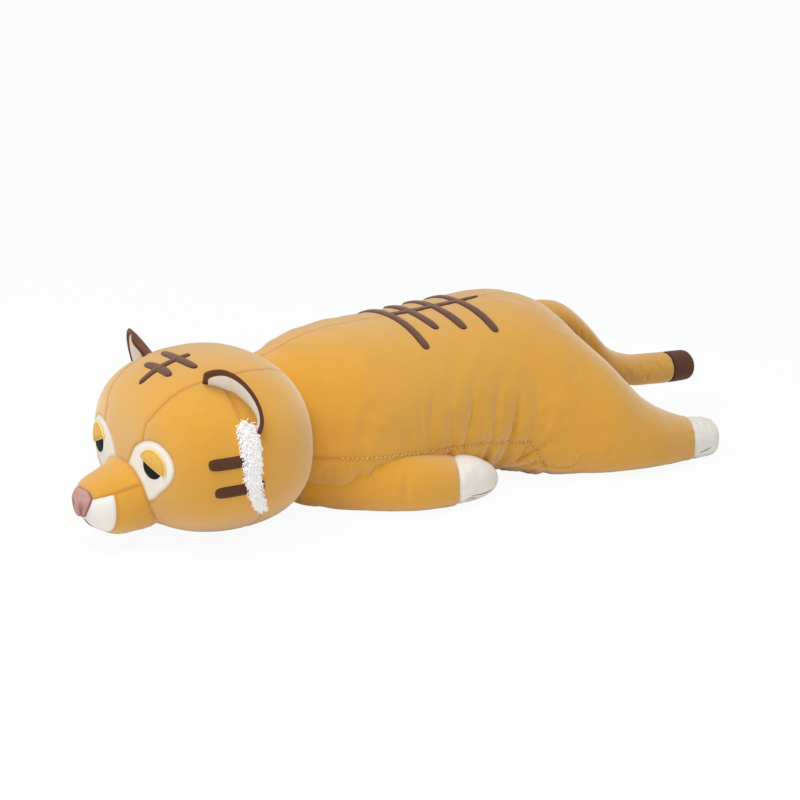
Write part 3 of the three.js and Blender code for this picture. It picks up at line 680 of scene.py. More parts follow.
# %% The trunk's skin, marked in panels
SIDE_LEFT, SIDE_RIGHT, BELLY, HIND_PAW_LEFT, HIND_PAW_RIGHT = range(5)
BODY_CELL, HIP_SOFTNESS = 0.0052, 0.05
hind_forms = [hind_leg_form(side) for _, side in SIDES]
hind_lines = [paw_line(form, *HIND_PAW) for form in hind_forms]
body_points, body_faces, body_trees = skin_of([body_form, *hind_forms], BODY_CELL, HIP_SOFTNESS)

# Where the belly seam runs: how far back, and how high over the floor
BELLY_LINE = np.array([
    (-0.1, 0.085), (0.05, 0.085), (0.15, 0.08), (0.225, 0.074), (0.274, 0.072), (0.33, 0.064),
    (0.353, 0.059), (0.362, 0.047), (0.368, 0.036), (0.376, 0.024), (0.388, 0.008), (0.4, -0.01),
])


def belly_line(points):
    return points[:, 2] - np.interp(points[:, 1], BELLY_LINE[:, 0], BELLY_LINE[:, 1])


def middle_line(points):
    return points[:, 0]


middles = body_points[body_faces].mean(axis=1)
body_marks = np.where(middles[:, 0] > 0, SIDE_LEFT, SIDE_RIGHT)
body_marks[belly_line(middles) < 0] = BELLY
on_paw = [(line(middles) > 0) & (middles[:, 1] > BODY_LENGTH) & (side * middles[:, 0] > 0)
          for line, (_, side) in zip(hind_lines, SIDES)]
body_marks[on_paw[0]] = HIND_PAW_LEFT
body_marks[on_paw[1]] = HIND_PAW_RIGHT
BODY_SEAMS = [
    ([SIDE_LEFT], [SIDE_RIGHT], middle_line),
    ([SIDE_LEFT, SIDE_RIGHT], [BELLY], belly_line),
    ([SIDE_LEFT], [HIND_PAW_LEFT], hind_lines[0]),
    ([SIDE_RIGHT], [HIND_PAW_RIGHT], hind_lines[1]),
]
body_points = settle_seams(body_points, body_faces, body_marks, BODY_SEAMS)
print("trunk skin:", len(body_points), "points,", np.bincount(body_marks), "squares a panel")

# %% [markdown]
# ## The head and the muzzle
#
# The head is a big round ball and the muzzle a short stub on it. They are fused in a tight
# hollow, and the seam round the muzzle lies in the bottom of it. A broad crown panel runs from
# the muzzle over the top, with a cheek at each side, and napes behind the ears.

# %% Sizes of the head
HEAD_WIDTH, HEAD_LENGTH, HEAD_HEIGHT = 0.296, 0.235, 0.228
HEAD_BACK, FACE_LENGTH, HEAD_POWER = 0.04, 0.1275, 2.3
HEAD_LEVEL = HEAD_HEIGHT / 2 - FLAT_DEPTH
HEAD_FRONT = HEAD_BACK - HEAD_LENGTH
head_form = Form([
    (0, y, HEAD_LEVEL, HEAD_WIDTH / 2, HEAD_HEIGHT / 2, HEAD_HEIGHT / 2)
    for y in (HEAD_FRONT, HEAD_FRONT + FACE_LENGTH, HEAD_BACK)], caps=(0.5, 0.5), power=HEAD_POWER)

MUZZLE_LENGTH, MUZZLE_WIDTH, MUZZLE_HEIGHT, MUZZLE_LEVEL = 0.062, 0.1, 0.1, 0.064
MUZZLE_ROOT = HEAD_FRONT + 0.04
MUZZLE_TIP = HEAD_FRONT - MUZZLE_LENGTH
MUZZLE_SHARES = [(0, 0, 1, 1), (0.33, -0.01, 0.98, 0.96), (0.6, -0.06, 0.88, 0.85),
                 (0.85, -0.04, 0.72, 0.63), (1, -0.03, 0.58, 0.42)]
muzzle_form = Form([
    (0, MUZZLE_ROOT + length * (MUZZLE_TIP - MUZZLE_ROOT), MUZZLE_LEVEL + rise * MUZZLE_HEIGHT,
     width * MUZZLE_WIDTH / 2, height * MUZZLE_HEIGHT / 2, height * MUZZLE_HEIGHT / 2)
    for length, rise, width, height in MUZZLE_SHARES], caps=(0.2, 0.3), power=CUSHION)

# %% The white patch round an eye, seen from the front
def smooth_loop(points, steps=8):
    """A closed smooth curve through the points."""
    rows = np.array([points[-1], *points, *points[:2]])
    return along(rows, (1 + np.arange(len(points) * steps) / steps) / (len(rows) - 1))


def inside_loop(flat, loop):
    """How far flat points lie inside a closed loop, below zero outside it."""
    near = np.full(len(flat), np.inf)
    inside = np.zeros(len(flat), bool)
    for a, b in zip(loop, np.roll(loop, -1, axis=0)):
        way = b - a
        share = np.clip((flat - a) @ way / (way @ way), 0, 1)
        near = np.minimum(near, np.linalg.norm(flat - a - share[:, None] * way, axis=1))
        crosses = (a[1] > flat[:, 1]) != (b[1] > flat[:, 1])
        at = a[0] + (flat[:, 1] - a[1]) / np.where(crosses, way[1], 1) * way[0]
        inside ^= crosses & (flat[:, 0] < at)
    return np.where(inside, near, -near)


# The corner below lies beside the muzzle, and the last two points lie under it
PATCH_LOOP = smooth_loop([
    (0.018, 0.113), (0.0235, 0.1245), (0.033, 0.136), (0.053, 0.1465), (0.074, 0.1465), (0.09, 0.136),
    (0.097, 0.12), (0.092, 0.101), (0.0735, 0.082), (0.052, 0.066), (0.035, 0.068), (0.012, 0.095),
])


def patch_line(points):
    return inside_loop(np.stack([np.abs(points[:, 0]), points[:, 2]], -1), PATCH_LOOP)


# %% The head's skin, marked in panels
CROWN, MUZZLE_TOP = 0, 7
CHEEKS, NAPES, PATCHES, MUZZLE_SIDES, LIPS = (1, 2), (3, 4), (5, 6), (8, 9), (10, 11)
HEAD_CELL, MUZZLE_SOFTNESS = 0.0045, 0.012
LIP_FRONT = MUZZLE_TIP + 0.028
head_points, head_faces, head_trees = skin_of([head_form, muzzle_form], HEAD_CELL, MUZZLE_SOFTNESS)

# Half the crown's width, as a share of half the head's, at shares of the head's length
CROWN_SHARES = np.array([(0, 0.3), (0.011, 0.31), (0.038, 0.32), (0.06, 0.36), (0.098, 0.395),
                         (0.206, 0.43), (0.336, 0.47), (0.488, 0.51), (0.7, 0.49), (0.81, 0.445),
                         (1, 0.38)])
LIP_SEAM = np.array([(-0.27, 0.071), (-0.251, 0.074), (-0.244, 0.077), (-0.227, 0.0796), (-0.21, 0.0835),
                     (-0.193, 0.0873), (-0.15, 0.1)])
# How far back the seam through the ear and the fur lies, at levels over the floor
EAR_SEAM = np.array([(0.0, -0.07), (0.03, -0.069), (0.05, -0.072), (0.085, -0.092), (0.12, -0.0965),
                     (0.18, -0.1), (0.23, -0.1)])


def crown_line(points):
    share = (points[:, 1] - HEAD_FRONT) / HEAD_LENGTH
    half = np.interp(share, CROWN_SHARES[:, 0], CROWN_SHARES[:, 1]) * HEAD_WIDTH / 2
    return half - np.abs(points[:, 0])


def muzzle_line(points):
    return reach(head_trees[0], points)[0] - reach(head_trees[1], points)[0]


def lip_seam(points):
    return points[:, 2] - np.interp(points[:, 1], LIP_SEAM[:, 0], LIP_SEAM[:, 1])


def ear_line(points):
    return points[:, 1] - np.interp(points[:, 2], EAR_SEAM[:, 0], EAR_SEAM[:, 1])


def lip_line(points):
    return points[:, 1] - LIP_FRONT


middles = head_points[head_faces].mean(axis=1)
left = middles[:, 0] > 0
head_marks = np.where(ear_line(middles) < 0, np.where(left, *CHEEKS), np.where(left, *NAPES))
head_marks[(crown_line(middles) > 0) & (middles[:, 2] > HEAD_LEVEL * 0.7)] = CROWN
on_patch = (patch_line(middles) > 0) & (middles[:, 1] < MUZZLE_ROOT + 0.04)
head_marks[on_patch] = np.where(left, *PATCHES)[on_patch]
near_muzzle = (middles[:, 1] < MUZZLE_ROOT) & (np.abs(middles[:, 0]) < MUZZLE_WIDTH)
on_muzzle = np.zeros(len(middles), bool)
on_muzzle[near_muzzle] = muzzle_line(middles[near_muzzle]) > 0
side_mark = np.where(lip_line(middles) > 0, np.where(left, *MUZZLE_SIDES), np.where(left, *LIPS))
head_marks[on_muzzle] = np.where(lip_seam(middles) > 0, MUZZLE_TOP, side_mark)[on_muzzle]
GOLDEN_ONLY = [CROWN, *CHEEKS, *NAPES]
HEAD_ONLY = [*GOLDEN_ONLY, *PATCHES]
MUZZLE_LOW = [*MUZZLE_SIDES, *LIPS]
MUZZLE_ALL = [MUZZLE_TOP, *MUZZLE_LOW]
LEFT_HALF, RIGHT_HALF = ([pair[k] for pair in (CHEEKS, NAPES, MUZZLE_SIDES, LIPS)] for k in (0, 1))
HEAD_SEAMS = [
    (HEAD_ONLY, MUZZLE_ALL, muzzle_line),
    ([CROWN], GOLDEN_ONLY[1:], crown_line),
    (PATCHES, GOLDEN_ONLY, patch_line),
    (CHEEKS, NAPES, ear_line),
    (LEFT_HALF, RIGHT_HALF, middle_line),
    ([MUZZLE_TOP], MUZZLE_LOW, lip_seam),
    (MUZZLE_SIDES, LIPS, lip_line),
]
head_points = settle_seams(head_points, head_faces, head_marks, HEAD_SEAMS)
print("head skin:", len(head_points), "points,", np.bincount(head_marks), "squares a panel")

# %% [markdown]
# ## Front legs and tail
#
# These are one form each. A front leg comes out from under the cheek, bulges at the elbow and
# lies flat to its white paw. The tail drops off the rump and lies out straight behind.

# %% Sizes of the front legs and the tail
FRONT_LEG_LENGTH, FRONT_LEG_WIDTH, FRONT_LEG_HEIGHT = 0.2, 0.076, 0.082
SHOULDER_SPREAD, SHOULDER_BACK, FRONT_LEG_SPREAD = 0.084, 0.1, 0.042
FRONT_PAW = (0.066, math.radians(26))
FRONT_SHARES = [
    (-0.36, -1.17, 0.53, 1, 0.8), (-0.06, -0.52, 0.71, 1.2, 0.86), (0.18, 0.3, 0.87, 1.2, 0.86),
    (0.38, 0.83, 0.97, 1.05, 0.8), (0.58, 1, 1, 0.9, 0.71), (0.8, 0.96, 0.92, 0.76, 0.66),
    (1, 0.87, 0.77, 0.52, 0.54),
]


def front_leg_form(side):
    return Form([
        (side * (SHOULDER_SPREAD + out * FRONT_LEG_SPREAD), SHOULDER_BACK + length * FRONT_LEG_LENGTH,
         level * FRONT_LEG_HEIGHT / 2, width * FRONT_LEG_WIDTH / 2, rise * FRONT_LEG_HEIGHT / 2,
         level * FRONT_LEG_HEIGHT / 2 + FLAT_DEPTH)
        for length, out, width, rise, level in FRONT_SHARES], caps=(0.24, 0.2), power=CUSHION,
            low_power=LYING)


TAIL_LENGTH, TAIL_THICKNESS, TAIL_TIP_LENGTH = 0.297, 0.047, 0.046
TAIL_ROOT_LEVEL, TAIL_BACK, TAIL_DROP = 0.188, 0.451, 0.119
TAIL_SHARES = [
    (0, 0, 1.05), (0.14, 0.05, 1.02), (0.23, 0.17, 1), (0.33, 0.4, 1), (0.46, 0.74, 1),
    (0.6, 0.9, 0.98), (0.74, 0.95, 0.98), (0.87, 0.98, 0.98), (1, 1, 0.95),
]
tail_form = Form([
    (0, TAIL_BACK + length * TAIL_LENGTH, TAIL_ROOT_LEVEL - drop * TAIL_DROP,
     *[width * TAIL_THICKNESS / 2] * 3) for length, drop, width in TAIL_SHARES], caps=(0.06, 0.045))

# %% Skins of the front legs and the tail
COVER, PAW = 0, 1
LEG_CELL, TAIL_CELL = 0.0042, 0.0036


def limb_skin(form, line, cell):
    """A limb's skin, marked as its cover and its paw or tip."""
    points, faces, trees = skin_of([form], cell, 0.01)
    marks = np.where(line(points[faces].mean(axis=1)) > 0, PAW, COVER)
    seams = [([COVER], [PAW], line)]
    return settle_seams(points, faces, marks, seams), faces, marks, seams


front_forms = [front_leg_form(side) for _, side in SIDES]
front_skins = [limb_skin(form, paw_line(form, *FRONT_PAW), LEG_CELL) for form in front_forms]
tail_skin = limb_skin(tail_form, paw_line(tail_form, TAIL_TIP_LENGTH), TAIL_CELL)
print("front leg:", len(front_skins[0][0]), "points; tail:", len(tail_skin[0]), "points")

# %% [markdown]
# ## Stuffing
#
# Stuffing presses the cloth out while its seams hold it back, and that makes the folds of a plush
# toy. The Cloth simulation does the same with air: the points on the seams are pinned, the cloth
# between them is a little too large, and pressure blows it up. The skins already have the size
# of the toy, so the swelling round each point is taken off again, and only the folds stay.

# %% Blow a skin up between its seams
PRESSURE, FRAMES = 4.0, 20
SWELLING_ROUNDS = 50


def blown(points, faces, marks, slack):
    """Where the cloth of a skin goes under pressure, when it is that much too large."""
    obj = in_scene("cloth", new_mesh("cloth", points, faces))
    edges, owners = edges_of(faces)
    ends = marks[owners]
    held = np.unique(edges[ends[:, 0] != ends[:, 1]])
    obj.vertex_groups.new(name="seams").add(held.tolist(), 1.0, "REPLACE")
    cloth = obj.modifiers.new("cloth", "CLOTH")
    settings = {"quality": 5, "mass": 0.3, "tension_stiffness": 12, "compression_stiffness": 12,
                "shear_stiffness": 4, "bending_stiffness": 0.4, "use_pressure": True,
                "uniform_pressure_force": PRESSURE, "vertex_group_mass": "seams",
                "shrink_min": -slack, "shrink_max": -slack}
    for key, value in settings.items():
        setattr(cloth.settings, key, value)
    cloth.settings.effector_weights.gravity = 0
    cloth.collision_settings.use_collision = False
    for frame in range(1, FRAMES + 1):
        bpy.context.scene.frame_set(frame)
    done = np.empty(len(points) * 3)
    evaluated(obj).data.vertices.foreach_get("co", done)
    mesh = obj.data
    bpy.data.objects.remove(obj)
    bpy.data.meshes.remove(mesh)
    bpy.context.scene.frame_set(1)
    return done.reshape(-1, 3)


def stuffed(name, points, faces, marks, slack, cap, share=1.0):
    """A skin with the folds that stuffing makes, or a share of them. No point passes the cap."""
    move = blown(points, faces, marks, slack) - points
    edges, _ = edges_of(faces)
    swelling = move
    for _ in range(SWELLING_ROUNDS):
        swelling = (swelling + averaged(swelling, edges, len(points))) / 2
    move = (move - swelling) * np.reshape(share, (-1, 1))
    far = np.linalg.norm(move, axis=1, keepdims=True)
    move *= np.minimum(1, cap / np.maximum(far, 1e-9))
    print(f"{name}: moved by {1000 * np.mean(far):.1f} mm on average, at most {1000 * cap:.0f} mm")
    return points + move


# %% [markdown]
# ## From a skin to pieces
#
# One round of Subdivision Surface makes the squares small enough to hold a seam's valley. The
# valleys and puckers are then pressed in, the skin is cut apart into its panels, and each
# panel becomes an object of its own, which stands for the solid of that panel in the frame.


def finer(points, faces, marks, seams):
    """Four squares for each one, with the points on seams slid back onto their lines."""
    points, faces, marks = through(points, faces, marks, "SUBSURF", levels=1, render_levels=1,
                                   boundary_smooth="PRESERVE_CORNERS")
    return settle_seams(points, faces, marks, seams, rounds=3), faces, marks


def piece(name, points, faces, material, place, seam=None):
    """An object with its place in its mesh. seam is a share from 0 to 1 at each point, by which its pile is
    darkened.
    """
    mesh = new_mesh(name, moved(np.asarray(points), place), faces)
    mesh.materials.append(material)
    mesh.shade_smooth()
    if seam is not None:
        mesh.attributes.new("seam", "FLOAT", "POINT").data.foreach_set(
            "value", np.asarray(seam, dtype=np.float32))
    return in_scene(name, mesh)


def panel(name, skin, mark, material, place):
    """One panel of a skin as an object."""
    points, faces, marks, seam = skin
    used, back = np.unique(faces[marks == mark], return_inverse=True)
    return piece(name, points[used], back.reshape(-1, 4), material, place, seam[used])


def settled(obj, body, nodes=()):
    """Says which body a piece rides on, and which solids of the frame it stands for."""
    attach(obj, body)
    if nodes:
        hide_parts(*nodes)


def padded_panel(name, skin, mark, material, place, body, nodes):
    """One panel of a skin as an object on its body, standing for those solids of the frame."""
    obj = panel(name, skin, mark, material, place)
    settled(obj, body, nodes)

# %% [markdown]
# ## The trunk, sewn
#
# The belly seam is drawn tight, so the flank above it stands in strong upright puckers, while
# the seam down the back hardly shows. A dart runs in a short hook over the front of the thigh.

# %% Creases that follow a line
def drawn(rows, step=0.002):
    """A fine smooth line through the points."""
    rows = np.array(rows, float)
    return along(rows, np.linspace(0, 1, max(4, round(gone_along(rows)[-1] / step))))


def snapped(tree, line):
    return np.array([tree.find_nearest(point)[0] for point in line.tolist()])


def folds_on(form, folds, side, seed):
    """Wandering lines round a form, for (share along it, first angle, last angle) each."""
    random = np.random.default_rng(seed)
    lines = []
    for share, first, last in folds:
        first, last = first + random.uniform(-12, 12), last + random.uniform(-12, 12)
        angles = np.radians(np.linspace(first, last, 40))
        sway = random.uniform(-0.02, 0.02) * np.sin(np.linspace(0, np.pi, 40) * random.uniform(0.8, 1.6))
        lines.append(form.at(share + sway, angles if side > 0 else np.pi - angles))
    return lines


def creased(points, faces, lines, width, depth):
    """Sinks cloth along lines, less towards their ends, and raises a soft ridge beside each."""
    rise = np.zeros(len(points))
    for line in lines:
        middle = line.mean(axis=0)
        room = np.max(np.linalg.norm(line - middle, axis=1)) + 3 * width
        near = np.flatnonzero(np.linalg.norm(points - middle, axis=1) < room)
        distance, place = near_runs(points[near], [line])
        own = depth * np.clip(np.sin(np.pi * place / max(place.max(), 1e-9)), 0, 1) ** 0.7
        rise[near] += own * (0.5 * fade(np.abs(distance - width), 0.9 * width) - fade(distance, width))
    return points + normals_of(points, faces) * rise[:, None]


# %% Press the trunk's seams in
# Painted shade along the seams: how wide it is, and how far the pile there is darkened towards its darker
# colour.
SHADE_WIDTH, SEAM_SHADE = 0.0045, 0.75


def pressed(points, faces, marks, seams):
    """Presses every seam in, and paints shade in its valley. seams is a list of (one side, other side,
    valley settings).
    """
    seam = np.zeros(len(points))
    normal = normals_of(points, faces)
    lines = []
    for one, two, settings in seams:
        runs = [points[run] for run in seam_points(points, faces, marks, one, two)]
        lines.append(runs)
        distance, place = near_runs(points, runs)
        strength = settings.pop("strength", None)
        share = strength(points) if strength else 1.0
        sunk = valley(points, normal, distance, place, **settings)
        points = points + (sunk - points) * np.reshape(share, (-1, 1))
        # The painted shade of this seam's valley, kept as each point's seam share.
        seam = np.maximum(seam, fade(distance, SHADE_WIDTH) * SEAM_SHADE)
    return points, seam, lines


def between(value, low, high, soft):
    """1 where value lies between low and high, and smoothly 0 outside."""
    share = np.clip((value - low) / soft + 0.5, 0, 1) * np.clip((high - value) / soft + 0.5, 0, 1)
    return share * share * (3 - 2 * share)


def flank(points):
    return 0.15 + 0.85 * between(points[:, 1], 0.2, 0.37, 0.06)


smooth_above = np.interp(body_points[:, 2], (0.08, 0.18), (0.9, 0.3))
smooth_behind = np.interp(body_points[:, 1], (0.48, 0.56), (1, 0.1))
body_points = stuffed("trunk", body_points, body_faces, body_marks, slack=0.04, cap=0.008,
                      share=smooth_above * smooth_behind)
body_points, body_faces, body_marks = finer(body_points, body_faces, body_marks, BODY_SEAMS)
body_points, body_seam, body_lines = pressed(body_points, body_faces, body_marks, [
    ([SIDE_LEFT], [SIDE_RIGHT], dict(width=0.006, depth=0.0006)),
    ([SIDE_LEFT, SIDE_RIGHT], [BELLY], dict(width=0.02, depth=0.004, pucker=0.0036, pitch=0.024,
                                            length=0.085, seed=11, strength=flank)),
    ([SIDE_LEFT], [HIND_PAW_LEFT], dict(width=0.006, depth=0.0016, pucker=0.0008, pitch=0.01,
                                        length=0.016, seed=21)),
    ([SIDE_RIGHT], [HIND_PAW_RIGHT], dict(width=0.006, depth=0.0016, pucker=0.0008, pitch=0.01,
                                          length=0.016, seed=22)),
])

# A dart over the front of each thigh, and the folds over each ankle
DART = [(0.118, 0.362, 0.046), (0.122, 0.368, 0.0375), (0.138, 0.385, 0.027), (0.151, 0.402, 0.021),
        (0.159, 0.412, 0.03), (0.161, 0.412, 0.044)]
ANKLE_FOLDS = [(0.74, 55, 110), (0.79, 35, 95), (0.83, 60, 120), (0.87, 20, 100), (0.91, 45, 115)]
trunk_tree = tree_of(body_points, body_faces)
darts = [snapped(trunk_tree, drawn(np.array(DART) * (side, 1, 1))) for _, side in SIDES]
body_points = creased(body_points, body_faces, darts, width=0.006, depth=0.0022)
# Painted shade along the creases of the darts, half as dark as at the seams.
body_seam = np.maximum(body_seam, 0.5 * fade(near_runs(body_points, darts)[0], 0.003))
ankle_folds = [line for form, (_, side) in zip(hind_forms, SIDES)
               for line in folds_on(form, ANKLE_FOLDS, side, 61)]
body_points = creased(body_points, body_faces, ankle_folds, width=0.006, depth=0.0011)
body_points[:, 2] = np.maximum(body_points[:, 2], 0)

body_skin = (body_points, body_faces, body_marks, body_seam)
for (word, side), mark, paw_mark in zip(SIDES, (SIDE_LEFT, SIDE_RIGHT), (HIND_PAW_LEFT, HIND_PAW_RIGHT)):
    leg = f"hind_leg_{word}"
    obj = panel(f"side_panel_{word}_plush", body_skin, mark, golden, ON_BODY)
    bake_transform(obj)
    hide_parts(f"side_panel_{word}", leg + "_cover", leg + "_stuffing")
    padded_panel(f"hind_paw_{word}_plush", body_skin, paw_mark, cream, ON_BODY, leg,
                 [leg + "_paw"])
padded_panel("belly_plush", body_skin, BELLY, golden, ON_BODY, "body",
             ["belly_panel", "body_stuffing"])

# %% The head, sewn
head_points = stuffed("head", head_points, head_faces, head_marks, slack=0.0, cap=0.003)
head_points, head_faces, head_marks = finer(head_points, head_faces, head_marks, HEAD_SEAMS)
head_points, head_seam, head_lines = pressed(head_points, head_faces, head_marks, [
    (HEAD_ONLY, MUZZLE_ALL, dict(width=0.008, depth=0.002, pucker=0.0004, pitch=0.02, length=0.015,
                                 seed=31)),
    ([CROWN], GOLDEN_ONLY[1:], dict(width=0.006, depth=0.0011, pucker=0.0003, pitch=0.022, length=0.012,
                                    seed=32)),
    (PATCHES, GOLDEN_ONLY, dict(width=0.005, depth=0.001, pucker=0.0002, pitch=0.012, length=0.008,
                                seed=37)),
    (CHEEKS, NAPES, dict(width=0.007, depth=0.0014, seed=33)),
    (LEFT_HALF, RIGHT_HALF, dict(width=0.006, depth=0.0012, seed=34)),
    ([MUZZLE_TOP], MUZZLE_LOW, dict(width=0.006, depth=0.0014, pucker=0.0003, pitch=0.014, length=0.01,
                                    seed=35)),
    (MUZZLE_SIDES, LIPS, dict(width=0.004, depth=0.0008, seed=36)),
])
head_points[:, 2] = np.maximum(head_points[:, 2], 0)

HEAD_PANELS = [
    ("head_crown", [CROWN], golden, "golden_plush", ["head_stuffing"]),
    ("cheek", CHEEKS, golden, "golden_plush", []), ("nape", NAPES, golden, "golden_plush", []),
    ("eye_patch", PATCHES, felt, "white_felt", []),
    ("muzzle_top", [MUZZLE_TOP], golden, "golden_plush", ["muzzle_stuffing"]),
    ("muzzle_side", MUZZLE_SIDES, golden, "golden_plush", []), ("lip", LIPS, cream, "cream_plush", []),
]
head_skin = (head_points, head_faces, head_marks, head_seam)
for name, marks, material, slot, more in HEAD_PANELS:
    nodes = [name] if len(marks) == 1 else [f"{name}_{word}" for word, _ in SIDES]
    for node, mark in zip(nodes, marks):
        padded_panel(node + "_plush", head_skin, mark, material, ON_HEAD, "head", [node, *more])

# %% The front legs and the tail, sewn
ELBOW_FOLDS = [(0.3, -10, 65), (0.45, -25, 25)]
HEAD_SWING = math.radians(8)
HEAD_ROOM, MAKES_WAY = 0.0006, 0.012
head_tree = tree_of(head_points, head_faces)


def making_way(points):
    """Points kept clear of the head as it lies and at both ends of its turn."""
    for turn in (HEAD_TURN - HEAD_SWING, HEAD_TURN, HEAD_TURN + HEAD_SWING):
        spin = np.array(Matrix.Rotation(turn, 3, "Z"))
        far, out = reach(head_tree, points @ spin)
        points = points + (np.clip(HEAD_ROOM - far, 0, MAKES_WAY)[:, None] * out) @ spin.T
    return points


front_trees = {}
for (word, side), form, (points, faces, marks, seams) in zip(SIDES, front_forms, front_skins):
    points = stuffed("front leg " + word, points, faces, marks, slack=0.03, cap=0.005)
    points, faces, marks = finer(points, faces, marks, seams)
    points, seam, _ = pressed(points, faces, marks, [
        ([COVER], [PAW], dict(width=0.006, depth=0.0016, pucker=0.0006, pitch=0.012, length=0.012, seed=41)),
    ])
    folds = folds_on(form, ELBOW_FOLDS, side, seed=81 + side)
    points = making_way(creased(points, faces, folds, width=0.009, depth=0.0018))
    points[:, 2] = np.maximum(points[:, 2], 0)
    front_trees[word] = tree_of(points, faces)
    leg, skin = f"front_leg_{word}", (points, faces, marks, seam)
    padded_panel(leg + "_cover_plush", skin, COVER, golden, ON_BODY, leg,
                 [leg + "_cover", leg + "_stuffing"])
    padded_panel(leg + "_paw_plush", skin, PAW, cream, ON_BODY, leg, [leg + "_paw"])

points, faces, marks = finer(*tail_skin)
points, seam, _ = pressed(points, faces, marks, [
    ([COVER], [PAW], dict(width=0.006, depth=0.0016, pucker=0.0006, pitch=0.01, length=0.012, seed=51)),
])
TAIL_FOLDS = [(0.17, -70, -5), (0.225, -75, 10), (0.27, -50, 5), (0.33, -60, 15), (0.375, -30, 20),
              (0.565, -20, 25), (0.6, -45, 20), (0.655, -15, 40), (0.7, -40, 15), (0.74, -20, 30)]
for side, seed in ((1, 71), (-1, 72)):
    points = creased(points, faces, folds_on(tail_form, TAIL_FOLDS, side, seed), width=0.006, depth=0.0015)
skin = (points, faces, marks, seam)
padded_panel("tail_cover_plush", skin, COVER, golden, ON_BODY, "tail",
             ["tail_cover", "tail_stuffing"])
padded_panel("tail_tip_plush", skin, PAW, brown, ON_BODY, "tail", ["tail_tip"])

# %% [markdown]
# ## Things sewn onto the cloth
#
# The stripes, the mark on the forehead and the eyes are cut from plush, felt and thread and sewn
# on top. Each is drawn as a flat outline, seen from the side that it lies on, and dropped
# straight onto the skin. It is then raised into a low pad, whose edge goes down into the pile.
# A Shrinkwrap modifier could drop a flat shape too, but it leaves a sheet without an edge.

# %% Flat outlines
def band(rows, steps=24, blunt=0.0):
    """A band along rows of (across, up, half width): its outline, and where each point closes to."""
    share = 0.5 - 0.5 * np.cos(np.pi * np.linspace(0, 1, steps + 1))
    rows = np.array(rows, float)
    u, v, half = along(rows, share).T
    if blunt:
        half = half * np.sqrt(1 - np.abs(2 * share - 1) ** blunt)
    middle = np.stack([u, v], -1)
    way = np.gradient(middle, axis=0)
    way /= np.linalg.norm(way, axis=1, keepdims=True)
    off = np.stack([-way[:, 1], way[:, 0]], -1) * half[:, None]
    inner = min(half.max() / gone_along(middle)[-1], 0.45)
    foot = along(rows, np.clip(share, inner, 1 - inner))[:, :2]
    return np.concatenate([middle + off, (middle - off)[-2:0:-1]]), np.concatenate([foot, foot[-2:0:-1]])


def disc(centre, radius, slant=0.0, sweep=2 * math.pi, steps=48):
    """A disc, or for a sweep of half a turn a half disc over a slanted chord."""
    angles = slant + np.linspace(0, sweep, steps + 1)
    outline = np.array(centre) + radius * np.stack([np.cos(angles), np.sin(angles)], -1)
    middle = np.array(centre, float)
    if abs(sweep) < 6:
        chord = np.linspace(outline[-1], outline[0], 13)[1:-1]
        outline = np.concatenate([outline, chord])
        half_way = slant + sweep / 2
        middle = middle + 0.42 * radius * np.array([math.cos(half_way), math.sin(half_way)])
    else:
        outline = outline[:-1]
    return outline, np.tile(middle, (len(outline), 1))


# %% Drop flat points onto a skin
def laid(tree, flat, view):
    """Where flat points land on a skin, and the way out there. view is front, top, left or right."""
    side = -1 if view == "right" else 1
    spots, normals = [], []
    for u, v in flat.tolist():
        start, way = {"front": ((u, -1, v), (0, 1, 0)), "top": ((u, v, 1), (0, 0, -1))}.get(
            view, ((side, u, v), (-side, 0, 0)))
        spot, normal, _, _ = tree.ray_cast(start, way)
        if spot is None:
            spot, normal, _, _ = tree.find_nearest(Vector(start) + 0.9 * Vector(way))
        spots.append(spot)
        normals.append(normal)
    return np.array(spots), np.array(normals)


def pad(tree, shape, view, height, edge=3.0, lift=0.0, depth=0.0014, rings=6, relief=None):
    """A low pad: its points, its faces and how near its edge each point is, from 0 to 1."""
    outline, feet = shape
    shares = [1.0, *np.cos(np.linspace(0, np.pi / 2, rings + 1))]
    flats = np.stack([feet + (outline - feet) * share for share in shares])
    spots, normals = (a.reshape(*flats.shape[:2], 3) for a in laid(tree, flats.reshape(-1, 2), view))
    for _ in range(3):
        normals = (2 * normals + np.roll(normals, 1, axis=1) + np.roll(normals, -1, axis=1)) / 4
        normals[1:-1] = (2 * normals[1:-1] + normals[:-2] + normals[2:]) / 4
        normals /= np.linalg.norm(normals, axis=2, keepdims=True)
    rise = np.array([lift + height * (1 - share**edge) ** 0.5 for share in shares])
    rise[0] = lift - depth
    rise = np.repeat(rise[:, None], len(outline), axis=1)
    if relief:
        rise[1:] += relief(flats[1:], np.array(shares[1:])[:, None])
    flat_points = (spots + normals * rise[..., None]).reshape(-1, 3)
    count = len(outline)
    faces = grid_faces(len(shares), count)
    a, b, c = (flat_points[faces[:, k]] for k in (0, 1, 2))
    if np.sum(np.cross(b - a, c - a) * normals.reshape(-1, 3)[faces[:, 0]]) < 0:
        faces = faces[:, ::-1]
    keys = np.concatenate([flats, np.where(np.arange(len(shares)) == 0, 1.0, 0.0)[:, None, None]
                           + np.zeros((*flats.shape[:2], 1))], -1)
    rim = np.repeat(np.array(shares)[:, None], count, axis=1).ravel()
    return merged(flat_points, faces, keys.reshape(-1, 3), rim)


def merged(points, faces, keys, rim):
    """Makes one point of all that have the same key, as where the rings of a pad close."""
    _, first, back = np.unique(np.round(keys * 1e7).astype(np.int64), axis=0, return_index=True,
                               return_inverse=True)
    back = back.ravel()
    faces = [list(dict.fromkeys(back[face].tolist())) for face in faces]
    return points[first], [face for face in faces if len(face) > 2], rim[first]


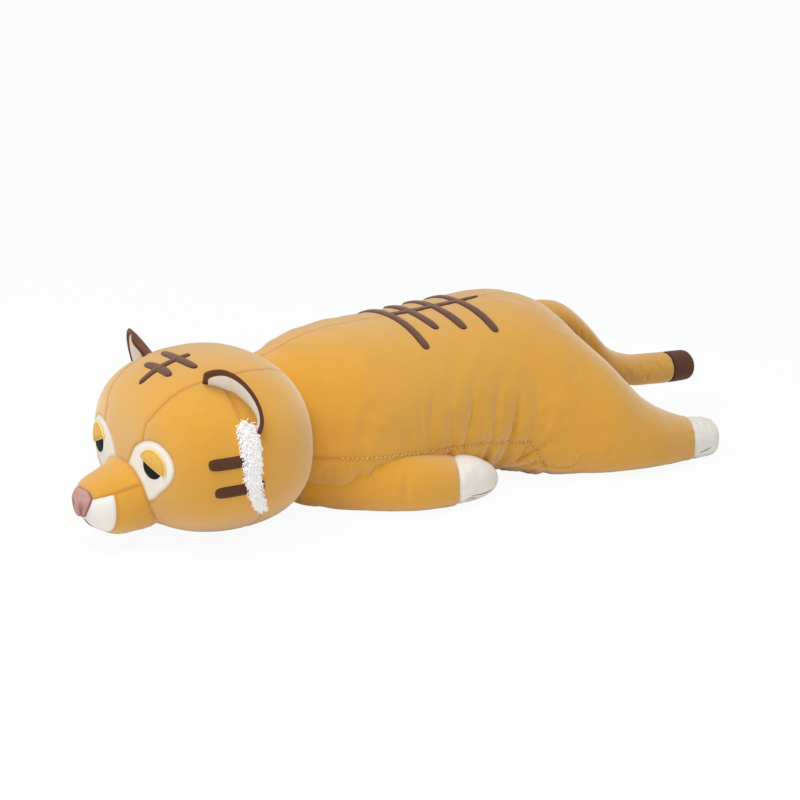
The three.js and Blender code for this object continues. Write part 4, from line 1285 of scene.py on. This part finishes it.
# %% A cord, and several shapes as one piece
def cord(line, up, radius, sides=8):
    """A round cord along a line, closed at both ends. radius is one value, or one a point."""
    way = np.gradient(line, axis=0)
    way /= np.linalg.norm(way, axis=1, keepdims=True)
    side = np.cross(way, up)
    side /= np.linalg.norm(side, axis=1, keepdims=True)
    up = np.cross(side, way)
    radius = np.broadcast_to(radius, len(line))[:, None, None]
    angles = np.linspace(0, 2 * np.pi, sides, endpoint=False)[None, :, None]
    rings = line[:, None] + radius * (np.cos(angles) * side[:, None] + np.sin(angles) * up[:, None])
    points = np.concatenate([rings.reshape(-1, 3), line[:1], line[-1:]])
    return points, tube_faces(len(line), sides), np.zeros(len(points))


def joined(parts):
    """Several (points, faces, values) as one."""
    starts = np.cumsum([0] + [len(part[0]) for part in parts])
    faces = [[start + int(k) for k in face] for start, part in zip(starts, parts) for face in part[1]]
    return np.concatenate([p[0] for p in parts]), faces, np.concatenate([p[2] for p in parts])


def sewn_on(name, parts, material, body, nodes=(), place=None, seam=None):
    """Sewn-on shapes as one piece. seam turns nearness to the edge into darkness."""
    points, faces, rim = joined(parts)
    dark = seam(rim) if seam else np.zeros(len(points))
    settled(piece(name, points, faces, material, place or ON_HEAD, dark), body, nodes)


# %% [markdown]
# ## Stripes
#
# The bars on the back, the mark on the forehead and the stripes on the cheeks are the same sewn
# bar in different lengths. A real bar is a little thicker in its middle, and the zigzag stitch
# round it pulls a dark line along its edge.

# %% Stripes on the back, the forehead and the cheeks
STRIPE_HEIGHT, STRIPE_HALF = 0.0028, 0.0064
RIB_SWEEP = 0.003
RIBS = [(0.2174, 0.0876), (0.2503, 0.062), (0.2885, 0.0725), (0.3296, 0.0875)]
SPINE_BAR = [(0, 0.211, 0.0052), (0, 0.25, 0.0056), (0, 0.31, 0.0056), (0, 0.342, 0.004), (0, 0.361, 0.0003)]


def edge_dark(rim):
    return 0.9 * np.clip((rim - 0.9) / 0.1, 0, 1)


def bar(start, end, half, bow=(0.0, 0.0), round_end=1.0):
    """A sewn bar from start to end with round ends, its middle pushed over by bow."""
    start, end = np.array(start), np.array(end)
    shares = np.linspace(0, 1, 5)[:, None]
    line = start + shares * (end - start) + 4 * shares * (1 - shares) * np.array(bow)
    blunt = round_end * np.linalg.norm(end - start) / half
    return band(np.concatenate([line, np.full((5, 1), half)], 1), steps=32, blunt=blunt)


back_tree = tree_of(body_points, body_faces)
bars = [band(SPINE_BAR, steps=32)]
for back, out in RIBS:
    bars.append(bar((-out, back), (out, back), STRIPE_HALF, (0, -RIB_SWEEP), 0.7))
sewn_on("back_stripes_plush", [pad(back_tree, shape, "top", STRIPE_HEIGHT) for shape in bars], stripe_brown,
        "body", ["back_stripes"], ON_BODY, edge_dark)

MARK_BARS = [((0, -0.166), (0, -0.091), 0.005, (0, 0)),
             ((-0.0305, -0.139), (0.0305, -0.139), 0.0062, (0, 0.002)),
             ((-0.0405, -0.107), (0.0405, -0.107), 0.0062, (0, -0.002))]
bars = [bar(*ends, half, bow, 0.4) for *ends, half, bow in MARK_BARS]
sewn_on("forehead_mark_plush", [pad(head_tree, shape, "top", STRIPE_HEIGHT) for shape in bars], stripe_brown,
        "head", ["forehead_mark"], seam=edge_dark)

CHEEK_STRIPES = [("upper", (-0.148, 0.1255), (-0.085, 0.129)), ("lower", (-0.141, 0.0885), (-0.078, 0.092))]
for word, side in SIDES:
    for step, start, end in CHEEK_STRIPES:
        shape = pad(head_tree, bar(start, end, 0.0078), word, STRIPE_HEIGHT)
        node = f"cheek_stripe_{step}_{word}"
        sewn_on(node + "_plush", [shape], cheek_brown, "head", [node], seam=edge_dark)

# %% [markdown]
# ## Eyes
#
# Each eye is a white disc, a black half moon of satin thread and a padded golden lid over
# it, whose slanting lower edge makes the toy look sleepy. A pale cord runs round the lid, and a
# dark line of stitches just inside it.

# %% Disc, pupil and lid
EYE_OUT, EYE_LEVEL = 0.065, 0.116
DISC_RADIUS, PUPIL_RADIUS, LID_RADIUS = 0.0195, 0.016, 0.0215
LID_SLANT = math.radians(24)
white_thread = plush("white thread", (250, 250, 250), (225, 222, 215), (255, 255, 255), sheen=0.1,
                     Mottle=0.1, Grain_Height=0.0002)
black_thread = plush("black satin", (24, 28, 31), (14, 16, 18), (90, 95, 100), sheen=0.1, Mottle=0.3,
                     Grain_Height=0.0001, Roughness=0.4)
lid_plush = plush("lid plush", (246, 196, 100), (150, 106, 38), (255, 236, 170), sheen=0.3,
                  Grain_Height=0.0003)
pale_thread = plush("pale thread", (250, 224, 140), (225, 180, 80), (255, 245, 200), sheen=0.2, Mottle=0.2,
                    Grain_Height=0.0002)


def lid_line(rim):
    return 0.95 * np.clip(1 - np.abs(rim - 0.9) / 0.035, 0, 1)


for word, side in SIDES:
    centre = (side * EYE_OUT, EYE_LEVEL)
    slant = -side * LID_SLANT
    over = disc(centre, LID_RADIUS, slant, math.pi)
    shape = pad(head_tree, disc(centre, DISC_RADIUS), "front", 0.0012)
    sewn_on(f"eye_disc_{word}_thread", [shape], white_thread, "head", [f"eye_disc_{word}"])
    shape = pad(head_tree, disc(centre, PUPIL_RADIUS, slant, -math.pi), "front", 0.0012, lift=0.0012)
    sewn_on(f"pupil_{word}_thread", [shape], black_thread, "head", [f"pupil_{word}"])
    shape = pad(head_tree, over, "front", 0.0034, edge=2.4, lift=0.0015, rings=12)
    sewn_on(f"eyelid_{word}_plush", [shape], lid_plush, "head", [f"eyelid_{word}"],
            seam=lid_line)
    outline = over[0]
    spots, ways = laid(head_tree, np.concatenate([outline, outline[:2]]), "front")
    sewn_on(f"eyelid_{word}_cord", [cord(spots + 0.0022 * ways, ways, 0.001)], pale_thread, "head")

# %% [markdown]
# ## Nose and mouth
#
# The nose is a scrap of dusty pink satin, gathered by one thread under it. Its folds run out
# from that point like the rays of a fan. A dark thread goes on from there down the chin.

# %% Nose and mouth
NOSE_TOP, NOSE_BOTTOM, NOSE_HALF = 0.0815, 0.0435, 0.0205
NOSE_PADDING = 0.0072
nose_satin = plush("dusty pink satin", (206, 160, 153), (140, 92, 86), (235, 205, 200), sheen=0.4,
                   sheen_roughness=0.35, Mottle=0.25, Grain_Height=0.00015, Roughness=0.5)
NOSE_SIDE = [(0.6, NOSE_TOP - 0.0005), (0.95, 0.0755), (1, 0.067), (0.62, 0.053), (0.2, NOSE_BOTTOM + 0.001)]
NOSE_LOOP = smooth_loop([(0, NOSE_TOP), *((half * NOSE_HALF, level) for half, level in NOSE_SIDE),
                         *((-half * NOSE_HALF, level) for half, level in NOSE_SIDE[::-1])], 6)


def gathers(flat, share):
    """Folds that fan out from the thread under the nose."""
    off = flat - np.array([0.003, NOSE_BOTTOM + 0.002])
    far = np.linalg.norm(off, axis=-1)
    turn = np.arctan2(off[..., 0], off[..., 1])
    folds = np.cos(6.5 * turn + 0.6) + 0.4 * np.cos(11 * turn + 2)
    return 0.0028 * folds * fade(far, 0.04) * np.clip(far / 0.006, 0, 1) * (1 - share**6) - 0.003 * fade(
        far, 0.009)


nose_shape = pad(head_tree, (NOSE_LOOP, np.tile([0, 0.068], (len(NOSE_LOOP), 1))), "front", NOSE_PADDING,
                 edge=2.4, rings=14, relief=gathers)


def nose_edge_and_fold_shade(rim):
    """Darker at the edge, and painted shade down in the folds, the deeper the darker."""
    sunk = -gathers(nose_shape[0][:, [0, 2]], rim)
    return np.maximum(edge_dark(rim), np.clip(sunk / 0.0012 - 0.3, 0, 0.9))


sewn_on("nose_satin", [nose_shape], nose_satin, "head", ["nose"], seam=nose_edge_and_fold_shade)

# %% [markdown]
# ## Ears
#
# An ear is a cup of brown plush with a white lining. The brown cloth is turned over the rim, so a
# narrow rolled edge frames the white. The cup flares towards the head, which gives its back a hollow
# line. Its points follow from two shares, one round the ear and one from the head to the rim.

# %% The cup of an ear
EAR_WIDTH, EAR_HEIGHT, EAR_CUP = 0.094, 0.046, 0.046
EAR_OUT, EAR_BACK, EAR_LEVEL = 0.111, 0.1, 0.19
EAR_TILT, EAR_LEAN = math.radians(37), 0.016
EAR_CLOTH = 0.0046
EAR_ROOT, ROOT_DEPTH = 0.55, 0.008


def ear_at(side, turn, share):
    """Points of the cup: turn runs round the ear, share from its root at 0 to its rim at 1."""
    across = EAR_WIDTH / 2 * np.cos(turn) * share
    up = EAR_HEIGHT * np.sin(turn) * share
    back = EAR_CUP * (1 - np.minimum(share, 1)) ** 0.9 + EAR_LEAN * np.cos(turn) * share
    fold = 0.006 * fade(np.abs(turn - 2.75), 0.5) * share**2
    x = across * math.cos(EAR_TILT) + up * math.sin(EAR_TILT)
    z = up * math.cos(EAR_TILT) - across * math.sin(EAR_TILT)
    return np.stack([side * (EAR_OUT + x), back - EAR_BACK - fold, EAR_LEVEL + z], -1)


def sheet(rows):
    """Points and faces of a sheet of rows, and a share of 0 at each point."""
    points = rows.reshape(-1, 3)
    return points, grid_faces(*rows.shape[:2], closed=False), np.zeros(len(points))


def ear_rows(side, shares, offsets):
    """Rows round the ear at those shares, each moved off the cup towards its mouth.

    Towards its root the cup bends over to where the head is, and goes into it.
    """
    turn = np.linspace(-0.35, np.pi + 0.35, 73)
    deep = ear_at(side, turn, EAR_ROOT)
    found = [head_tree.find_nearest(point)[:2] for point in deep.tolist()]
    pull = np.array([list(spot - ROOT_DEPTH * up) for spot, up in found]) - deep

    def rooted(share):
        near = max(0.0, (1 - share) / (1 - EAR_ROOT))
        return ear_at(side, turn, share) + near**1.3 * pull

    rows = []
    for share, offset in zip(shares, offsets):
        here = rooted(share)
        slope = rooted(min(share + 0.001, 1)) - rooted(min(share, 0.999))
        out = np.cross(np.gradient(here, axis=0), slope)
        out *= -side / np.linalg.norm(out, axis=1, keepdims=True)
        rows.append(here + offset * out)
    return np.stack(rows)


# %% Back, rim and lining
cup_shares = np.linspace(EAR_ROOT, 1, 25)
roll = np.linspace(0, np.pi, 9)[1:]
for word, side in SIDES:
    half = EAR_CLOTH / 2
    shares = [*cup_shares, *(1 + half / EAR_HEIGHT * np.sin(roll)), 0.93, 0.88]
    offsets = [*np.zeros(25), *(half - half * np.cos(roll)), EAR_CLOTH, EAR_CLOTH - 0.0015]
    rows = ear_rows(side, shares, offsets)
    points, faces, values = sheet(rows)
    sewn_on(f"ear_back_{word}_plush", [(points, faces[:, ::side], values)], ear_brown, f"ear_{word}",
            [f"ear_back_{word}"])
    swell = EAR_CLOTH + 0.0012 * np.sin(np.pi * np.linspace(0, 1, 25)) - 0.0012 * (cup_shares > 0.98)
    points, faces, values = sheet(ear_rows(side, cup_shares - 0.03, swell))
    sewn_on(f"ear_lining_{word}_plush", [(points, faces[:, ::-side], values)], cream, f"ear_{word}",
            [f"ear_lining_{word}"])

# %% [markdown]
# ## Fur on the cheeks
#
# A strip of long white pile is sewn into the seam under each ear. Real fur can be a hair particle
# system, but hairs aren't a mesh, and other programs would lose them. So a Geometry Nodes tree
# scatters short tapered tufts over a low pad, each bent down and out, and turns them into a mesh.

# %% The tree that grows fur
def made_real(tree, copies, given, result):
    """Ends a tree: its copies become plain mesh in the given material."""
    real = add_node(tree, "GeometryNodeRealizeInstances", "real", Geometry=copies)
    feed(tree, result["Geometry"], add_node(tree, "GeometryNodeSetMaterial", "finish", Geometry=real,
                                            Material=given["Material"]))
    return tree


def make_fur_tree():
    tree, given, result = new_tree("fur", "GeometryNodeTree", [
        ("Geometry", GEOMETRY), ("Tuft Length", FLOAT, 0.01), ("Tuft Radius", FLOAT, 0.0006),
        ("Tufts per Area", FLOAT, 300000.0), ("Bend", FLOAT, 0.5), ("Spread", FLOAT, 0.9),
        ("Seed", "NodeSocketInt", 1), ("Material", "NodeSocketMaterial")], [("Geometry", GEOMETRY)])
    length, seed = given["Tuft Length"], given["Seed"]
    bend = maths(tree, "how far the tip leans", "MULTIPLY", length, given["Bend"])
    middle = add_node(tree, "ShaderNodeCombineXYZ", "middle of a tuft", Z=length)
    lower = add_node(tree, "ShaderNodeVectorMath", "lower", middle, operation="SCALE", Scale=0.62)
    tip = add_node(tree, "ShaderNodeCombineXYZ", "tip of a tuft", X=bend, Z=length)
    curve = add_node(tree, "GeometryNodeCurveQuadraticBezier", "a tuft", Resolution=4,
                     Start=(0.0, 0.0, 0.0), Middle=lower, End=tip)
    place = add_node(tree, "GeometryNodeSplineParameter", "place on the tuft").outputs["Factor"]
    taper = maths(tree, "thinner to the tip", "MULTIPLY_ADD", place, -0.85, 1.0)
    tapered = add_node(tree, "GeometryNodeSetCurveRadius", "taper", Curve=curve, Radius=taper)
    section = add_node(tree, "GeometryNodeCurvePrimitiveCircle", "section", Resolution=4,
                       Radius=given["Tuft Radius"])
    tuft = add_node(tree, "GeometryNodeCurveToMesh", "one tuft", Curve=tapered, Profile_Curve=section)
    spots = add_node(tree, "GeometryNodeDistributePointsOnFaces", "where tufts grow",
                     Mesh=given["Geometry"], Density=given["Tufts per Area"], Seed=seed)
    upright = add_node(tree, "FunctionNodeAlignRotationToVector", "stand up", axis="Z",
                       Vector=spots.outputs["Normal"])
    combed = add_node(tree, "FunctionNodeAlignRotationToVector", "comb down", axis="X", pivot_axis="Z",
                      Rotation=upright, Vector=(0.0, 0.0, -1.0))
    other_way = maths(tree, "other way", "MULTIPLY", given["Spread"], -1.0)
    least = add_node(tree, "ShaderNodeCombineXYZ", "least turn", -0.35, -0.35, other_way)
    most = add_node(tree, "ShaderNodeCombineXYZ", "most turn", 0.35, 0.35, given["Spread"])
    turn = add_node(tree, "FunctionNodeRandomValue", "tousled", least, most, data_type="FLOAT_VECTOR",
                    Seed=seed)
    as_turn = add_node(tree, "FunctionNodeEulerToRotation", "as a turn", Euler=turn)
    tousled = add_node(tree, "FunctionNodeRotateRotation", "tousle", rotation_space="LOCAL",
                       Rotation=combed, Rotate_By=as_turn)
    size = add_node(tree, "FunctionNodeRandomValue", "uneven", data_type="FLOAT", Seed=seed)
    size.inputs[2].default_value = 0.6
    size.inputs[3].default_value = 1.15
    copies = add_node(tree, "GeometryNodeInstanceOnPoints", "tufts", Points=spots.outputs["Points"],
                      Instance=tuft, Rotation=tousled, Scale=size.outputs[1])
    return made_real(tree, copies, given, result)


# %% Run a tree over a mesh
def grown(name, tree, mesh, place, **values):
    """The plain object that a tree makes out of a mesh, in its place in the frame."""
    mesh.transform(place)
    source = in_scene("source", mesh)
    modifier = source.modifiers.new("tree", "NODES")
    modifier.node_group = tree
    for item in tree.interface.items_tree:
        if item.in_out == "INPUT" and item.name.replace(" ", "_") in values:
            modifier[item.identifier] = values[item.name.replace(" ", "_")]
    result = bpy.data.meshes.new_from_object(evaluated(source))
    bpy.data.objects.remove(source)
    result.name = name
    result.shade_smooth()
    print(name, len(result.polygons), "faces")
    return in_scene(name, result)


# %% Fur strips
# FUR_GLOW is painted light: the white fur glows a little by itself, which lifts the shade between its tufts.
FUR_GLOW = 0.1
fur_tree = make_fur_tree()
white_fur = plush("white fur", (255, 254, 254), (246, 243, 243), (255, 255, 255), sheen=0.3, Mottle=0.2,
                  Grain_Scale=300.0)
fur_shader = white_fur.node_tree.nodes["Principled BSDF"].inputs
fur_shader["Emission Color"].default_value = (1, 1, 1, 1)
fur_shader["Emission Strength"].default_value = FUR_GLOW
FUR_ROWS = [(-0.097, 0.17, 0.005), (-0.097, 0.16, 0.0072), (-0.0965, 0.145, 0.0078), (-0.0965, 0.12, 0.0066),
            (-0.093, 0.09, 0.0046), (-0.084, 0.07, 0.0024), (-0.076, 0.057, 0.0006)]
for word, side in SIDES:
    points, faces, rim = pad(head_tree, band(FUR_ROWS, steps=40), word, 0.004, edge=2.2)
    node = f"fur_strip_{word}"
    sewn_on(node + "_base", [(points, faces, rim)], white_fur, "head", [node])
    obj = grown(node + "_pile", fur_tree, new_mesh("fur ground", points, faces), ON_HEAD,
                Tuft_Length=0.006, Tuft_Radius=0.0006, Tufts_per_Area=900000.0, Bend=1.0, Spread=1.2,
                Seed=7 + side, Material=white_fur)
    settled(obj, "head")

# %% [markdown]
# ## Stitches
#
# The belly seam and the darts are closed by hand from outside, so short pale stitches cross them
# at a slant. They all are the same small thread, so a tree places copies: the script gives it one
# point for each stitch and the way that it lies.

# %% The tree that places stitches
def make_stitch_tree():
    tree, given, result = new_tree("stitches", "GeometryNodeTree", [
        ("Geometry", GEOMETRY), ("Stitch Length", FLOAT, 0.006), ("Stitch Radius", FLOAT, 0.0005),
        ("Material", "NodeSocketMaterial")], [("Geometry", GEOMETRY)])
    half = maths(tree, "half a stitch", "MULTIPLY", given["Stitch Length"], 0.5)
    thin = given["Stitch Radius"]
    size = add_node(tree, "ShaderNodeCombineXYZ", "long and thin", half, thin, thin)
    bead = add_node(tree, "GeometryNodeMeshUVSphere", "thread", Segments=6, Rings=4, Radius=1.0)
    stitch = add_node(tree, "GeometryNodeTransform", "one stitch", Geometry=bead, Scale=size)
    turn = add_node(tree, "GeometryNodeInputNamedAttribute", "the way it lies", data_type="FLOAT_VECTOR",
                    Name="turn")
    as_turn = add_node(tree, "FunctionNodeEulerToRotation", "as a turn", Euler=turn)
    copies = add_node(tree, "GeometryNodeInstanceOnPoints", "stitches", Points=given["Geometry"],
                      Instance=stitch, Rotation=as_turn)
    return made_real(tree, copies, given, result)


def stitch_ground(tree, lines, pitch, slant, lift=0.0006):
    """A mesh of one point a stitch, with its turn. The stitches lean to and fro."""
    spots, turns = [], []
    for line in lines:
        gone = gone_along(line)
        places = np.arange(pitch / 2, gone[-1], pitch)
        here, after = (np.stack([np.interp(places + d, gone, line[:, k]) for k in range(3)], -1)
                       for d in (0, 0.002))
        for n, (a, b) in enumerate(zip(here.tolist(), after.tolist())):
            spot, up, _, _ = tree.find_nearest(a)
            way = (Vector(b) - Vector(a)).normalized()
            way = Matrix.Rotation(slant if n % 2 else -slant, 3, up) @ way
            side = up.cross(way).normalized()
            turns.append(Matrix((way, side, way.cross(side))).transposed().to_euler())
            spots.append(spot + lift * up)
    mesh = new_mesh("stitch ground", [list(spot) for spot in spots], [])
    mesh.attributes.new("turn", "FLOAT_VECTOR", "POINT").data.foreach_set(
        "vector", np.array([list(turn) for turn in turns], dtype=np.float32).ravel())
    return mesh


# %% Stitches on the belly seam and the darts
stitch_tree = make_stitch_tree()
STITCHED = (0.07, 0.372)
STITCH_SLANT = math.radians(38)
seam_runs = [run[(run[:, 1] > STITCHED[0]) & (run[:, 1] < STITCHED[1]) & (run[:, 2] > 0.01)]
             for run in body_lines[1]]
seam_runs = [snapped(back_tree, run) for run in seam_runs if len(run) > 10]
for name, lines, pitch in (("belly_seam_stitches", seam_runs, 0.0062), ("dart_stitches", darts, 0.0055)):
    ground = stitch_ground(back_tree, lines, pitch, STITCH_SLANT)
    obj = grown(name, stitch_tree, ground, ON_BODY, Stitch_Length=0.0056, Stitch_Radius=0.00055,
                Material=pale_thread)
    settled(obj, "body")

# %% [markdown]
# ## Threads on the chin and the paws
#
# Two grey threads draw the toes at the end of each front paw and one on each hind paw, and a dark
# one runs down the chin from the nose. They are cords that lie half in the pile.

# %% Toe lines and the mouth
grey_thread = plush("grey thread", (150, 146, 140), (110, 106, 100), (210, 208, 205), sheen=0.1, Mottle=0.2,
                    Grain_Height=0.0001)
dark_thread = plush("dark thread", (74, 58, 50), (45, 34, 30), (150, 130, 120), sheen=0.1, Mottle=0.2,
                    Grain_Height=0.0001)


def thread(tree, line, radius):
    """A cord half sunk in the skin, thin at both ends."""
    spots, ups = [], []
    for point in drawn(line).tolist():
        spot, up, _, _ = tree.find_nearest(point)
        spots.append(list(spot))
        ups.append(list(up))
    thin = np.sin(np.pi * np.clip(np.linspace(0.04, 0.96, len(spots)), 0, 1)) ** 0.5
    return cord(np.array(spots), np.array(ups), radius * thin)


TOES = [
    ("front_leg", [(0.16, 0.2373, 0.0165), (0.1588, 0.2464, 0.016), (0.1566, 0.2561, 0.0142),
                   (0.1552, 0.2636, 0.0139), (0.1526, 0.2721, 0.0143), (0.1482, 0.2818, 0.0152)]),
    ("front_leg", [(0.1582, 0.2274, 0.0109), (0.1593, 0.233, 0.0132), (0.1592, 0.2396, 0.0131),
                   (0.157, 0.248, 0.009)]),
    ("hind_leg", [(0.1957, 0.6011, 0.0155), (0.1958, 0.6064, 0.0167), (0.1957, 0.6119, 0.0171),
                  (0.1958, 0.6173, 0.0182), (0.196, 0.6225, 0.0202)]),
]
for word, side in SIDES:
    for leg in ("front_leg", "hind_leg"):
        tree = back_tree if leg == "hind_leg" else front_trees[word]
        toes = [thread(tree, np.array(line) * (side, 1, 1), 0.0008) for name, line in TOES if name == leg]
        sewn_on(f"{leg}_{word}_toe_thread", toes, grey_thread, f"{leg}_{word}",
                place=ON_BODY)


# The mouth line, from the thread under the nose down the middle of the chin
CHIN = [(0, -0.2519, 0.0425), (0, -0.251, 0.037), (0, -0.247, 0.03), (0, -0.24, 0.0235), (0, -0.23, 0.018)]
sewn_on("mouth_thread", [thread(head_tree, np.array(CHIN), 0.0011)], dark_thread, "head")

# %% [markdown]
# ## Floor, light and camera
#
# The toy lies on plain white in soft light from above and in front. One wide lamp is over it,
# one low and weak at the camera's side, and the white world fills the shadows.

# %% Floor
def studio_tree(owner):
    """The emptied node tree of a material or a world."""
    owner.use_nodes = True
    owner.node_tree.nodes.clear()
    return owner.node_tree


FLOOR_HALF, FLOOR_LEVEL = 6, -0.0006
corners = [(x * FLOOR_HALF, y * FLOOR_HALF, 0) for x, y in ((-1, -1), (1, -1), (1, 1), (-1, 1))]
floor = in_scene("floor", new_mesh("floor", corners, [(0, 1, 2, 3)]))
floor.location.z = FLOOR_LEVEL
paper = bpy.data.materials.new("studio floor")
tree = studio_tree(paper)
white = add_node(tree, "ShaderNodeBsdfDiffuse", "paper", Color=(0.9, 0.9, 0.9, 1))
glow = add_node(tree, "ShaderNodeEmission", "white ground", Color=(1, 1, 1, 1), Strength=1.0)
seen = add_node(tree, "ShaderNodeLightPath", "who looks").outputs["Is Camera Ray"]
share = maths(tree, "mostly white to the camera", "MULTIPLY", seen, 0.94)
mix = add_node(tree, "ShaderNodeMixShader", "paper or glow", share, white, glow)
add_node(tree, "ShaderNodeOutputMaterial", "floor", mix)
floor.data.materials.append(paper)

# %% World and lamps
WORLD_STRENGTH = 0.44
world = bpy.data.worlds.new("white studio")
tree = studio_tree(world)
fill = add_node(tree, "ShaderNodeBackground", "fill", Color=(1, 0.99, 0.97, 1), Strength=WORLD_STRENGTH)
wall = add_node(tree, "ShaderNodeBackground", "seen", Color=(1, 1, 1, 1), Strength=1.0)
seen = add_node(tree, "ShaderNodeLightPath", "who looks").outputs["Is Camera Ray"]
mix = add_node(tree, "ShaderNodeMixShader", "fill or wall", seen, fill, wall)
add_node(tree, "ShaderNodeOutputWorld", "world", mix)
bpy.context.scene.world = world


def lamp(name, place, aim, size, power):
    """A round lamp of that size in metres and power in watts."""
    light = bpy.data.lights.new(name, "AREA")
    light.shape = "DISK"
    light.size = size
    light.energy = power
    obj = in_scene(name, light)
    obj.location = place
    obj.rotation_euler = (Vector(aim) - Vector(place)).to_track_quat("-Z", "Y").to_euler()


lamp("lamp_over", (0.3, -1.0, 2.2), aim=(0, -0.1, 0.1), size=1.6, power=36)
lamp("lamp_camera", (2.2, -1.4, 0.7), aim=(0, 0, 0.1), size=1.4, power=6)

# %% Camera, level with where the photograph was taken from
CAMERA_AZIMUTH, CAMERA_ELEVATION, CAMERA_DISTANCE = math.radians(56), math.radians(18), 3.0
CAMERA_AIM = Vector((0.0960, -0.073839, 0.1439))
camera_way = Vector((math.sin(CAMERA_AZIMUTH) * math.cos(CAMERA_ELEVATION),
                     -math.cos(CAMERA_AZIMUTH) * math.cos(CAMERA_ELEVATION),
                     math.sin(CAMERA_ELEVATION)))
camera = in_scene("camera", bpy.data.cameras.new("camera"))
camera.data.lens = 103.5
camera.data.sensor_width = 36
camera.location = CAMERA_AIM + CAMERA_DISTANCE * camera_way
camera.rotation_euler = (-camera_way).to_track_quat("-Z", "Y").to_euler()
bpy.context.scene.camera = camera
bpy.context.scene.view_settings.view_transform = "Standard"
